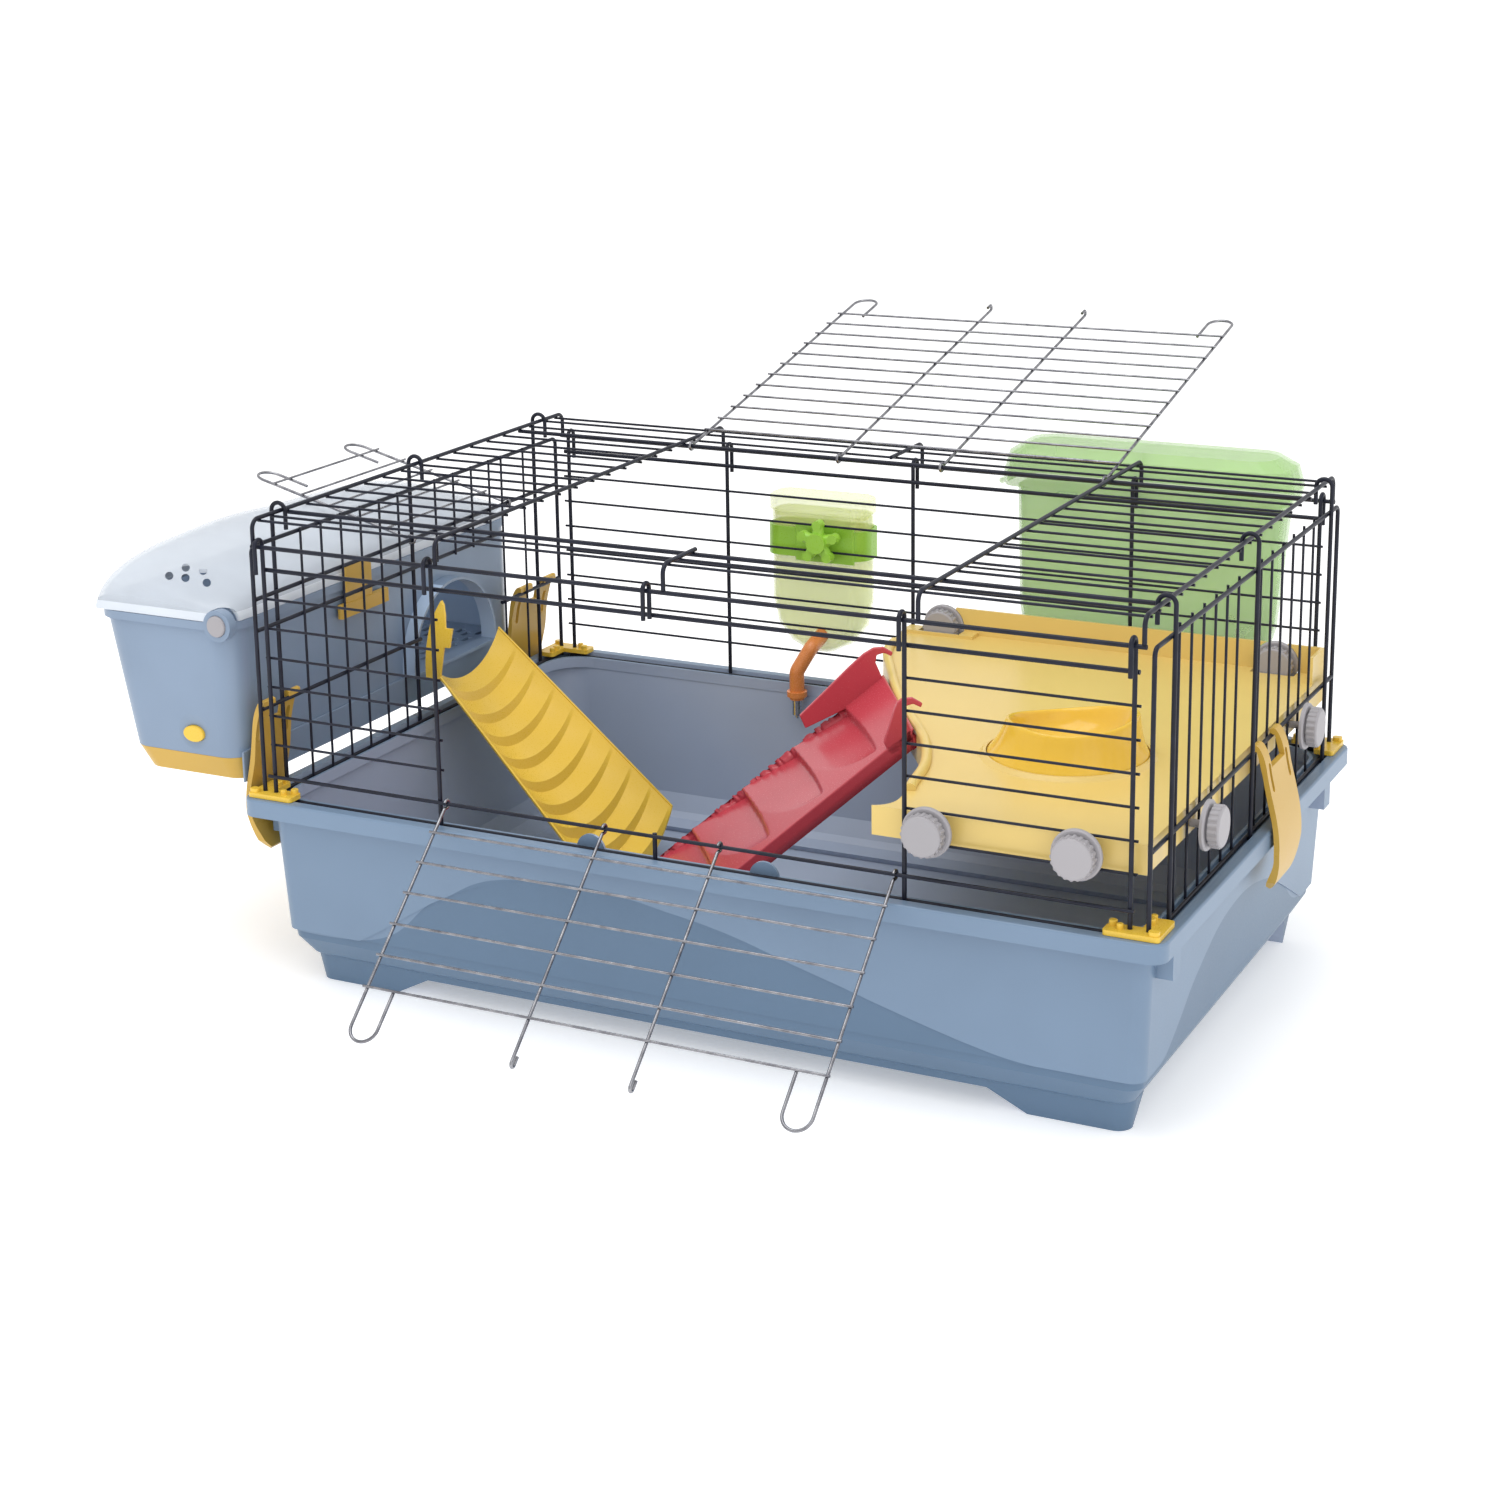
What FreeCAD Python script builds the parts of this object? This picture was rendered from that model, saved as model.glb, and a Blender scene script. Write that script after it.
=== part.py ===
import FreeCAD, Part
import math
import os
from FreeCAD import Vector

# Pet cage: a wire cage on a deep plastic tub, with a carrier docked at its left side.
# Frame: X runs along the cage (right +X), Y from front (-Y) to back (+Y), Z up.
# The origin lies on the floor under the middle of the tub.  Lengths are in millimetres.

# ---- tub ----
RIM_X, RIM_Y, RIM_Z = 400.0, 259.0, 170.0      # half length, half depth, height of the rim
SKIRT = 15.0                                   # depth of the skirt under the rim
WALL = 2.8                                     # thickness of the tub wall
FLOOR_Z = 17.0                                 # underside of the tub floor
TUB_LOW = [(352, 208, 14, 17), (366, 222, 14, 27), (375, 231, 13, 42), (376, 232, 12, 52)]
TUB_HIGH = [(378.5, 234.5, 12, 50), (384, 240, 12, 166)]
CORNER, INNER_CORNER = 12.0, 30.0              # corner radii outside and inside
RELIEF = 1.5                                   # depth of the moulded wave
FOOT_X, FOOT_Y = (284.0, 250.0), (201.0, 188.0)  # inner ends of the feet, at the floor and above
CHANNEL_Z = 164.8                              # floor of the groove that the wires stand in

# ---- wires ----
THICK, THIN = 1.8, 1.1                         # radii of frame wire and filling wire
CHROME, CHROME_BAR = 1.35, 1.05                # radii of door rail and door bar
HINGE_WIRE = 1.5                               # radius of the wire that the front door swings on
WELD = 0.1                                     # depth to which crossing wires are welded
BEND = 6.0                                     # bend radius of the frame wires

SIDE_X, FRONT_Y, BACK_Y = 384.0, -244.0, 244.0  # planes of the four wire walls
FOOT_WIRE_Z = 167.0                            # lowest frame wire
ROOF_Z, ROOF_EDGE_Z = 407.0, 385.0             # roof wires, and the wire along its front edge
ROOF_EDGE_Y = 249.0
ROOF_LONG_X = [-378.0, -203.0, 208.0, 378.0]   # wires that run from front to back

FRONT_POSTS = [-373.0, -211.0, 195.0, 370.0]
FRONT_BARS = [214.5, 239.5, 264.5, 289.5, 314.5, 339.5]
FRONT_TOP_Z = 364.0
FRONT_HINGE_Z = 188.7
BACK_POSTS = [-369.0, -197.0, -7.0, 202.0, 369.0]
BACK_BARS = [199.1, 223.8, 248.4, 273.1, 297.7, 322.4, 347.0]
BACK_TOP_Z = 371.5
SIDE_POSTS = [-209.0, -5.0, 209.0]
SIDE_TOP_Z = 383.0
RIGHT_CLIP_Z, LEFT_CLIP_Z = 233.0, 244.0       # wires that the clips hang on
LEFT_HINGE_Z, LEFT_LINTEL_Z = 338.0, 311.5
LEFT_JAMB_Y = 139.0                            # far side of the doorway to the carrier

ROOF_BAR_PITCH = 28.5
ROOF_FRONT_BAR_Y = -199.0                      # front edge of the roof opening
ROOF_HINGE_Y = ROOF_FRONT_BAR_Y + 13 * ROOF_BAR_PITCH

# ---- doors, as they stand open ----
DOOR_BAR_PITCH = 27.5
FRONT_DOOR_RAILS = [-203.0, -58.0, 43.0, 189.0]
FRONT_DOOR_DROP = 42.6                         # degrees below level
FRONT_DOOR_LENGTH = 209.0
ROOF_DOOR_RAILS = [-196.0, -48.0, 51.0, 201.0]
ROOF_DOOR_RISE = 12.5                          # degrees above level
ROOF_DOOR_LENGTH = 382.0
LEFT_DOOR_RAILS = [-11.0, 152.0]
LEFT_DOOR_RISE = 14.5
LEFT_DOOR_LENGTH = 176.0
HANDLE_WIDTH, HANDLE_LENGTH = 24.0, 44.0

# ---- carrier ----
DOCK_X = -408.0                                # face of the carrier next to the cage
CARRIER_OUT_TOP, CARRIER_OUT_LOW = -549.0, -524.0
CARRIER_Y = (-246.0, 196.0)
CARRIER_LOW_Z, TRAY_TOP_Z, FLANGE_Z = 178.0, 197.0, 315.0
ARCH_Y, ARCH_R, ARCH_SPRING_Z = 72.0, 68.0, 211.0
LEDGE_Z = 199.4                                # ledge that carries the loose floor
ROUND_BUTTON, OVAL_BUTTON = (-420.0, 313.0), (-454.0, 215.0)
LID_AXIS, LID_HINGES = (-552.0, 0.0, 315.6), (-150.0, 90.0)
AIR_HOLES = [(-465.0, 352.0), (-448.0, 352.0), (-426.0, 350.0), (-447.0, 361.0), (-429.0, 360.0)]

# ---- platform, bowl, ramps ----
PLATE_Z, PLATE_T, SKIRT_LOW_Z = 236.0, 3.0, 213.0
BOWL_X, BOWL_Y, BOWL_R, BOWL_H = 256.0, -62.0, 64.0, 30.0
KNOB_R, KNOB_CAP_R, KNOB_T = 19.5, 16.5, 14.0
FRONT_KNOBS = [(215.0, 226.0), (331.0, 226.0)]
SIDE_KNOBS = [(-136.1, 221.0), (132.6, 221.0)]
BACK_KNOBS = [(28.0, 242.0), (338.0, 242.0)]
RED_TOP, RED_SLOPE, RED_HEADING = (40.0, 69.1, 240.6), 38.0, 212.6
RED_LIP_CLEAR = 246.6                          # hooks stay above this height over the platform
CHUTE_NEAR = (Vector(-376.5, -4.0, 224.5), Vector(-203.0, -36.0, 66.5))   # rims of the chute
CHUTE_FAR = (Vector(-376.5, 116.0, 224.5), Vector(-203.0, 131.0, 66.5))
CHUTE_SAG, CHUTE_TOOTH, CHUTE_STEPS = (30.0, 42.0), (6.0, 9.0), 9
COLLAR_Y, COLLAR_Z, COLLAR_R = 72.0, 222.0, 79.0  # curve of the chute's upright side plate
BOTTLE_X = (-158.0, -60.0)
SPOUT_X, SPOUT_Y = -117.0, 224.5


def rod(start, end, radius):
    """Round rod between two points."""
    start, end = Vector(*start), Vector(*end)
    return Part.makeCylinder(radius, (end - start).Length, start, end - start)


def bent_rod(points, radius, bend):
    """Rod along a path: straight lengths and bends that meet face to face."""
    path = [Vector(*p) for p in points]
    solids = []
    start = path[0]
    for before, corner, after in zip(path, path[1:], path[2:]):
        along = (corner - before).normalize()
        onward = (after - corner).normalize()
        turn = along.getAngle(onward)
        cut = bend * math.tan(turn / 2)
        bend_start = corner - along * cut
        axis = along.cross(onward).normalize()
        centre = bend_start + axis.cross(along) * bend
        if (bend_start - start).Length > 0.05:
            solids.append(rod(start, bend_start, radius))
        disc = Part.Face(Part.Wire(Part.makeCircle(radius, bend_start, along)))
        solids.append(disc.revolve(centre, axis, math.degrees(turn)))
        start = corner + onward * cut
    solids.append(rod(start, path[-1], radius))
    return solids


def rounded_wire(x0, x1, y0, y1, radius, z):
    """Closed rectangle with round corners, level at height z."""
    corners = [(x1 - radius, y0 + radius, -90), (x1 - radius, y1 - radius, 0),
               (x0 + radius, y1 - radius, 90), (x0 + radius, y0 + radius, 180)]
    edges = []
    last = None
    for cx, cy, turn in corners:
        points = []
        for step in (0, 45, 90):
            angle = math.radians(turn + step)
            points.append(Vector(cx + radius * math.cos(angle), cy + radius * math.sin(angle), z))
        if last is not None:
            edges.append(Part.makeLine(last, points[0]))
        edges.append(Part.Arc(*points).toShape())
        last = points[2]
    edges.append(Part.makeLine(last, edges[0].firstVertex().Point))
    return Part.Wire(edges)


def centred_wire(half_x, half_y, radius, z):
    """Rounded rectangle about the Z axis."""
    return rounded_wire(-half_x, half_x, -half_y, half_y, radius, z)


def slab(x0, x1, y0, y1, radius, z0, z1):
    """Upright block with round corners in plan."""
    return Part.Face(rounded_wire(x0, x1, y0, y1, radius, z0)).extrude(Vector(0, 0, z1 - z0))


def centred_slab(half_x, half_y, radius, z0, z1):
    return slab(-half_x, half_x, -half_y, half_y, radius, z0, z1)


def box(x0, x1, y0, y1, z0, z1):
    return Part.makeBox(x1 - x0, y1 - y0, z1 - z0, Vector(x0, y0, z0))


def loft(wires):
    return Part.makeLoft(wires, True, True)


def smooth_face(points, closed_by=()):
    """Flat face inside a smooth curve, closed by straight lines through closed_by."""
    curve = Part.BSplineCurve()
    curve.interpolate([Vector(*p) for p in points])
    edges = [curve.toShape()]
    ring = [Vector(*points[-1])] + [Vector(*p) for p in closed_by] + [Vector(*points[0])]
    for a, b in zip(ring, ring[1:]):
        if (b - a).Length > 1e-6:
            edges.append(Part.makeLine(a, b))
    return Part.Face(Part.Wire(edges))


def polygon_face(points):
    ring = [Vector(*p) for p in points]
    return Part.Face(Part.makePolygon(ring + [ring[0]]))


def save(name, solids):
    """Write one part file: a single solid, or a group of separate solids."""
    shape = solids[0] if len(solids) == 1 else Part.makeCompound(solids)
    shape.exportStep("parts/" + name + ".step")


def swing(shape, centre, axis, degrees):
    turned = shape.copy()
    turned.rotate(Vector(*centre), Vector(*axis), degrees)
    return turned


# ---------------------------------------------------------------- tub
def wave_prism(along_x):
    """Upright block under the moulded wave line, through the whole tub."""
    reach = 1000.0
    if along_x:
        line = [(-345, 0, 34), (-300, 0, 52), (-225, 0, 98), (-125, 0, 132), (-10, 0, 124),
                (120, 0, 92), (235, 0, 60), (300, 0, 47), (352, 0, 42)]
        face = smooth_face(line, [(352, 0, 30), (-345, 0, 30)])
        face.translate(Vector(0, -reach / 2, 0))
        return face.extrude(Vector(0, reach, 0))
    line = [(0, -205, 42), (0, -165, 60), (0, -105, 96), (0, -30, 118), (0, 50, 112),
            (0, 130, 80), (0, 205, 42)]
    face = smooth_face(line, [(0, 205, 30), (0, -205, 30)])
    face.translate(Vector(-reach / 2, 0, 0))
    return face.extrude(Vector(reach, 0, 0))


def tub():
    """Deep tub with feet, moulded waves, a skirted rim and a groove for the wires."""
    high = loft([centred_wire(*s) for s in TUB_HIGH])
    low = loft([centred_wire(*s) for s in TUB_LOW])
    feet = loft([centred_wire(361, 213, CORNER, 0), centred_wire(365, 217, CORNER + 2, 25)])
    (x_low, x_high), (y_low, y_high) = FOOT_X, FOOT_Y
    arch = polygon_face([(-x_low, -RIM_Y, -1), (x_low, -RIM_Y, -1), (x_high, -RIM_Y, 17), (-x_high, -RIM_Y, 17)])
    feet = feet.cut(arch.extrude(Vector(0, 2 * RIM_Y, 0)))
    arch = polygon_face([(-RIM_X, -y_low, -1), (-RIM_X, y_low, -1), (-RIM_X, y_high, 26), (-RIM_X, -y_high, 26)])
    feet = feet.cut(arch.extrude(Vector(2 * RIM_X, 0, 0)))
    inner_rows = TUB_LOW[:3] + TUB_HIGH[1:]
    inner = loft([centred_wire(x - WALL, y - WALL, INNER_CORNER, z + WALL) for x, y, r, z in inner_rows])
    skin = loft([centred_wire(x - RELIEF, y - RELIEF, r - 1, z) for x, y, r, z in TUB_HIGH])
    relief = high.cut(skin)
    for prism in (wave_prism(True), wave_prism(False)):
        high = high.cut(relief.common(prism))
    body = high.fuse(low)
    flange = centred_slab(RIM_X, RIM_Y, CORNER + 2, RIM_Z - SKIRT, RIM_Z)
    flange = flange.makeFillet(2.0, [e for e in flange.Edges if e.BoundBox.ZMin > RIM_Z - 0.01])
    flange = flange.cut(centred_slab(RIM_X - 2.6, RIM_Y - 2.6, CORNER, RIM_Z - SKIRT - 1, RIM_Z - 2.6))
    flange = flange.cut(centred_slab(377, 235.8, 34, 150, RIM_Z + 1))
    body = body.cut(inner)
    seat = centred_slab(392.5, 251, 14, 158, RIM_Z - 0.5).cut(centred_slab(377, 235.8, 34, 150, RIM_Z + 1))
    body = body.cut(centred_slab(377, 235.8, 34, 158, RIM_Z + 1)).fuse([feet, flange, seat])
    groove = centred_slab(390.0, 248.6, 12, CHANNEL_Z, RIM_Z + 1)
    groove = groove.cut(centred_slab(379.4, 238.2, 33, CHANNEL_Z - 1, RIM_Z + 2))
    lip = centred_slab(380, 239, 33, 168.2, RIM_Z + 1)
    body = body.cut(groove).cut(lip)
    stops = []
    for y in (-237.0, 237.0):
        for x in (-76.0, 76.0):
            stop = Part.makeCylinder(12.5, 2.2, Vector(x, y - 1.1, 166), Vector(0, 1, 0))
            stops.append(stop.common(box(x - 13, x + 13, y - 1.2, y + 1.2, 160, 190)))
    for x in (-387.0, 387.0):
        for y in (-212.0, 200.0):
            stops.append(box(x - 8.5, x + 8.5, y - 9, y + 9, 130, 160))
    body = body.fuse(stops).removeSplitter()
    return [body]


def corner_connector(side_x, side_y):
    """Studded corner piece that locks two wire walls together on the rim."""
    x, y = side_x * SIDE_X, side_y * abs(FRONT_Y)
    post_x = side_x * (373.0 if side_x < 0 else 370.0)
    if side_y > 0:
        post_x = side_x * 369.0
    plate = slab(min(side_x * 352, side_x * 395), max(side_x * 352, side_x * 395),
                 min(side_y * 237.5, side_y * 254), max(side_y * 237.5, side_y * 254), 3, 170.3, 174.3)
    leg = slab(min(side_x * 377.5, side_x * 395), max(side_x * 377.5, side_x * 395),
               min(side_y * 216, side_y * 254), max(side_y * 216, side_y * 254), 3, 170.3, 174.3)
    body = plate.fuse(leg)
    spots = [(356.5, 241.0, 3.2), (363.5, 246.5, 2.6), (380.5, 220.5, 2.6), (381.0, 229.0, 3.2)]
    for sx, sy, radius in spots:
        stud = Part.makeCylinder(radius, 7.5, Vector(side_x * sx, side_y * sy, 171))
        stud = stud.makeFillet(1.0, [e for e in stud.Edges if e.BoundBox.ZMin > 178])
        body = body.fuse(stud)
    cap = slab(min(side_x * 386, side_x * 394), max(side_x * 386, side_x * 394),
               min(side_y * 246.5, side_y * 253), max(side_y * 246.5, side_y * 253), 2.5, 172, 177.5)
    body = body.fuse(cap)
    for hx, hy in ((x, y), (post_x, y)):
        body = body.cut(Part.makeCylinder(THICK + 0.35, 20, Vector(hx, hy, 165)))
    return [body.removeSplitter()]


# ---------------------------------------------------------------- wire walls
def hook_post(base, top_z, over, tail_z, radius=THICK):
    """Upright whose top curls over a roof wire and comes down again by `over` sideways."""
    bx, by, bz = base
    ox, oy = over
    reach = math.hypot(ox, oy)
    top = top_z + reach / 2
    path = [(bx, by, bz), (bx, by, top), (bx + ox, by + oy, top), (bx + ox, by + oy, tail_z)]
    return bent_rod(path, radius, reach / 2)


def roof_panel():
    """Roof frame, its filling bars and the wires that bend down to the front and back."""
    wires = []
    low_z = ROOF_EDGE_Z + THICK - WELD
    for x in ROOF_LONG_X:
        wires += bent_rod([(x, -ROOF_EDGE_Y, low_z), (x, -ROOF_EDGE_Y, ROOF_Z),
                           (x, ROOF_EDGE_Y, ROOF_Z), (x, ROOF_EDGE_Y, low_z)], THICK, 8.0)
    wires += bent_rod([(0, -ROOF_EDGE_Y, low_z), (0, -ROOF_EDGE_Y, ROOF_Z),
                       (0, ROOF_FRONT_BAR_Y + 3, ROOF_Z)], THICK, 8.0)
    wires += bent_rod([(0, ROOF_EDGE_Y, low_z), (0, ROOF_EDGE_Y, ROOF_Z),
                       (0, ROOF_HINGE_Y + 6.5, ROOF_Z)], THICK, 8.0)
    for y in (-ROOF_EDGE_Y, ROOF_EDGE_Y):
        wires.append(rod((-380, y, ROOF_EDGE_Z), (380, y, ROOF_EDGE_Z), THICK))
    thick_z = ROOF_Z - 2 * THICK + WELD
    for y in (ROOF_FRONT_BAR_Y, ROOF_HINGE_Y):
        wires.append(rod((-380, y, thick_z), (380, y, thick_z), THICK))
    thin_z = ROOF_Z - THICK - THIN + WELD
    for y in (-238.0, -220.0, 191.0, 220.0, 238.0):
        wires.append(rod((-380, y, thin_z), (380, y, thin_z), THIN))
    for step in range(1, 13):
        y = ROOF_FRONT_BAR_Y + step * ROOF_BAR_PITCH
        wires.append(rod((-380, y, thin_z), (-201, y, thin_z), THIN))
        wires.append(rod((206, y, thin_z), (380, y, thin_z), THIN))
    return wires


def wall_x(y_posts, inward, posts, top_z, bars):
    """Wall along X: hooked uprights, frame wires and filling bars on their inner side."""
    frame_y = y_posts + inward * (2 * THICK - WELD)
    bar_y = y_posts + inward * (THICK + THIN - WELD)
    wires = []
    for x in posts:
        wires += hook_post((x, y_posts, FOOT_WIRE_Z - THICK), ROOF_EDGE_Z + 1, (0, -10.0 * inward), 363.0)
    for z in (FOOT_WIRE_Z, top_z):
        wires.append(rod((posts[0] - 2.5, frame_y, z), (posts[-1] + 2.5, frame_y, z), THICK))
    for z, start, end in bars:
        wires.append(rod((start, bar_y, z), (end, bar_y, z), THIN))
    return wires


def front_panel():
    """Front wall with a doorway between its middle uprights."""
    bars = []
    for z in FRONT_BARS:
        bars.append((z, FRONT_POSTS[0] - 4, FRONT_POSTS[1] + 2.5))
        bars.append((z, FRONT_POSTS[2] - 2.5, FRONT_POSTS[3] + 4))
    wires = wall_x(FRONT_Y, 1, FRONT_POSTS, FRONT_TOP_Z, bars)
    hinge_y = FRONT_Y - THICK - HINGE_WIRE + WELD
    wires.append(rod((FRONT_POSTS[0] - 4, hinge_y, FRONT_HINGE_Z),
                     (FRONT_POSTS[3] + 4, hinge_y, FRONT_HINGE_Z), HINGE_WIRE))
    wires += hook_post((-15, FRONT_Y, FRONT_TOP_Z - 2), ROOF_EDGE_Z + 1, (0, -10.0), 363.0)
    wires.append(rod((-15, FRONT_Y, FOOT_WIRE_Z - THICK), (-15, FRONT_Y, FRONT_HINGE_Z + HINGE_WIRE), THICK))
    return wires


def back_panel():
    bars = [(z, BACK_POSTS[0] - 4, BACK_POSTS[-1] + 4) for z in BACK_BARS]
    return wall_x(BACK_Y, -1, BACK_POSTS, BACK_TOP_Z, bars)


def side_frame(side):
    """Bent outer frame of a side wall, its foot wire and the three hooked uprights."""
    x = side * SIDE_X
    post_x = x + side * (2 * THICK - WELD)
    wires = bent_rod([(x, FRONT_Y, FOOT_WIRE_Z - THICK), (x, FRONT_Y, SIDE_TOP_Z),
                      (x, BACK_Y, SIDE_TOP_Z), (x, BACK_Y, FOOT_WIRE_Z - THICK)], THICK, BEND)
    wires.append(rod((x, FRONT_Y + THICK - WELD, FOOT_WIRE_Z), (x, BACK_Y - THICK + WELD, FOOT_WIRE_Z), THICK))
    for y in SIDE_POSTS:
        wires += hook_post((post_x, y, FOOT_WIRE_Z - THICK), 406.2, (-13.6 * side, 0), 391.0)
    return wires


def side_verticals(side, spans):
    """Thin uprights on the inner side of a side wall: (y, low z, high z)."""
    x = side * (SIDE_X - THICK - THIN + WELD)
    return [rod((x, y, low), (x, y, high), THIN) for y, low, high in spans]


def thin_positions():
    """Even spacing of the thin uprights between the three thick ones."""
    places = []
    for start, end in zip(SIDE_POSTS, SIDE_POSTS[1:]):
        places += [start + (end - start) * k / 7 for k in range(1, 7)]
    return places


def right_panel():
    wires = side_frame(1)
    wires.append(rod((SIDE_X, FRONT_Y + THICK - WELD, RIGHT_CLIP_Z),
                     (SIDE_X, BACK_Y - THICK + WELD, RIGHT_CLIP_Z), THICK))
    wires += side_verticals(1, [(y, FOOT_WIRE_Z - THIN, SIDE_TOP_Z + 3) for y in thin_positions()])
    return wires


def left_panel():
    """Left wall with a doorway towards the carrier."""
    x = -SIDE_X
    wires = side_frame(-1)
    near, far = FRONT_Y + THICK - WELD, BACK_Y - THICK + WELD
    wires.append(rod((x, near, LEFT_HINGE_Z), (x, far, LEFT_HINGE_Z), THICK))
    wires.append(rod((x, near, LEFT_LINTEL_Z), (x, LEFT_JAMB_Y + 2, LEFT_LINTEL_Z), THICK))
    wires.append(rod((x, near, LEFT_CLIP_Z), (x, SIDE_POSTS[1] + 2, LEFT_CLIP_Z), THICK))
    wires.append(rod((x, LEFT_JAMB_Y - 2, LEFT_CLIP_Z), (x, far, LEFT_CLIP_Z), THICK))
    spans = []
    for y in thin_positions() + [LEFT_JAMB_Y]:
        in_doorway = SIDE_POSTS[1] < y < LEFT_JAMB_Y - 1
        if y in thin_positions() and abs(y - LEFT_JAMB_Y) < 12:
            continue
        low = LEFT_LINTEL_Z - 2 if in_doorway else FOOT_WIRE_Z - THIN
        spans.append((y, low, SIDE_TOP_Z + 3))
    return wires + side_verticals(-1, spans)


# ---------------------------------------------------------------- doors
def rail_path(x, length, eye):
    """Centre line of a rail from its free end to the eye that curls round the hinge wire."""
    return [(x, length, 0), (x, 1.6 * eye, 0), (x, 0.6 * eye, eye), (x, -eye, eye),
            (x, -eye, -eye), (x, 0.4 * eye, -eye)]


def door(rails, length, bars, wire_radius, bar_side):
    """Flat door along +Y; its hinge wire runs along X through the origin."""
    eye = wire_radius + 0.15 + CHROME
    bar_z = bar_side * (CHROME + CHROME_BAR - WELD)
    solids = []
    for number, x in enumerate(rails):
        outer = number in (0, len(rails) - 1)
        straight = length - HANDLE_WIDTH / 2 if outer else length - 8
        solids += bent_rod(rail_path(x, straight, eye), CHROME, eye)
        if outer:
            side = HANDLE_WIDTH if number == 0 else -HANDLE_WIDTH
            path = [(x, straight, 0), (x, length, 0), (x + side, length, 0),
                    (x + side, length - HANDLE_LENGTH, 0)]
            solids += bent_rod(path, CHROME, HANDLE_WIDTH / 2)
        else:
            path = [(x, straight, 0), (x, straight + 2.6, 0), (x, straight + 2.6, 5.2),
                    (x, straight - 7, 5.2)]
            solids += bent_rod(path, CHROME, 2.6)
    for y in bars:
        solids.append(rod((rails[0] - 3, y, bar_z), (rails[-1] + 3, y, bar_z), CHROME_BAR))
    return solids


def hang(solids, turns, origin):
    """Swing door solids about the hinge wire and put the hinge in its place."""
    placed = []
    for solid in solids:
        moved = solid.copy()
        for axis, degrees in turns:
            moved.rotate(Vector(0, 0, 0), Vector(*axis), degrees)
        moved.translate(Vector(*origin))
        placed.append(moved)
    return placed


def front_door():
    bars = [DOOR_BAR_PITCH * k for k in range(1, 7)]
    solids = door(FRONT_DOOR_RAILS, FRONT_DOOR_LENGTH, bars, HINGE_WIRE, -1)
    hinge = (0, FRONT_Y - THICK - HINGE_WIRE + WELD, FRONT_HINGE_Z)
    return hang(solids, [((1, 0, 0), 180 + FRONT_DOOR_DROP)], hinge)


def roof_door():
    bars = [34 + DOOR_BAR_PITCH * k for k in range(12)]
    solids = door(ROOF_DOOR_RAILS, ROOF_DOOR_LENGTH, bars, THICK, 1)
    return hang(solids, [((1, 0, 0), ROOF_DOOR_RISE)], (0, ROOF_HINGE_Y, ROOF_Z - 2 * THICK + WELD))


def left_door():
    bars = [26.0, 57.0, 88.0, 119.0, 150.0]
    solids = door(LEFT_DOOR_RAILS, LEFT_DOOR_LENGTH, bars, THICK, 1)
    turns = [((0, 0, 1), 90), ((0, 1, 0), LEFT_DOOR_RISE)]
    return hang(solids, turns, (-SIDE_X, 0, LEFT_HINGE_Z))


# ---------------------------------------------------------------- clips
def clip(side, wire_z, y0, y1, notch):
    """Springy clip: hangs on a wire of the wall, reaches over the rim and ends below it."""
    def at(distance, z):
        return (side * (SIDE_X + distance), 0, z)
    top = wire_z + 6.5
    outer = [at(-1.2, top - 1.2), at(1.5, top), at(8, top - 7), at(13, top - 26), at(17.5, 195),
             at(22.5, 172), at(24.0, 152), at(21.5, 132), at(17.2, 121), at(12, 115.5)]
    inner = [at(9.6, 118), at(13.5, 128), at(18.6, 142), at(19.4, 156), at(18.2, 171),
             at(12.5, 196), at(9.2, top - 28), at(5.4, top - 13), at(3.2, wire_z + 1.2)]
    ring = smooth_ring(outer, inner, at(-1.2, wire_z + 1.0))
    body = ring.extrude(Vector(0, y1 - y0, 0))
    body.translate(Vector(0, y0, 0))
    wire = Part.makeCylinder(THICK + 0.15, y1 - y0 + 2, Vector(side * SIDE_X, y0 - 1, wire_z), Vector(0, 1, 0))
    body = body.cut(wire)
    mid = (y0 + y1) / 2
    width = (y1 - y0) / 2
    reach = side * SIDE_X
    low, high = min(reach - side * 8, reach + side * 40), max(reach - side * 8, reach + side * 40)
    outline = slab_x(low, high, [(y0, wire_z + 9), (y1, wire_z + 9), (y1, 150), (mid + width * 0.72, 124),
                                 (mid + width * 0.3, 112), (mid - width * 0.3, 112),
                                 (mid - width * 0.72, 124), (y0, 150)])
    body = body.common(outline)
    body = body.cut(box(low, high, mid - notch, mid + notch, wire_z - 14, wire_z + 10))
    for centre in (mid - width * 0.72, mid + width * 0.72):
        body = body.cut(slot_x(low, high, centre, 2.6, wire_z - 30, wire_z - 12))
    return [body.removeSplitter()]


def smooth_ring(outer, inner, tip):
    """Face between a smooth outer curve and a smooth inner curve, closed at both ends."""
    outside = Part.BSplineCurve()
    outside.interpolate([Vector(*p) for p in outer])
    inside = Part.BSplineCurve()
    inside.interpolate([Vector(*p) for p in inner])
    edges = [outside.toShape(), Part.makeLine(Vector(*outer[-1]), Vector(*inner[0])), inside.toShape(),
             Part.makeLine(Vector(*inner[-1]), Vector(*tip)), Part.makeLine(Vector(*tip), Vector(*outer[0]))]
    return Part.Face(Part.Wire(edges))


def slab_x(x0, x1, outline):
    """Block along X with an outline given in Y and Z."""
    return polygon_face([(x0, y, z) for y, z in outline]).extrude(Vector(x1 - x0, 0, 0))


def slot_x(x0, x1, y, radius, z0, z1):
    """Upright slot with round ends that runs along X."""
    block = box(x0, x1, y - radius, y + radius, z0, z1)
    ends = [Part.makeCylinder(radius, x1 - x0, Vector(x0, y, z), Vector(1, 0, 0)) for z in (z0, z1)]
    return block.fuse(ends)


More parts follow.
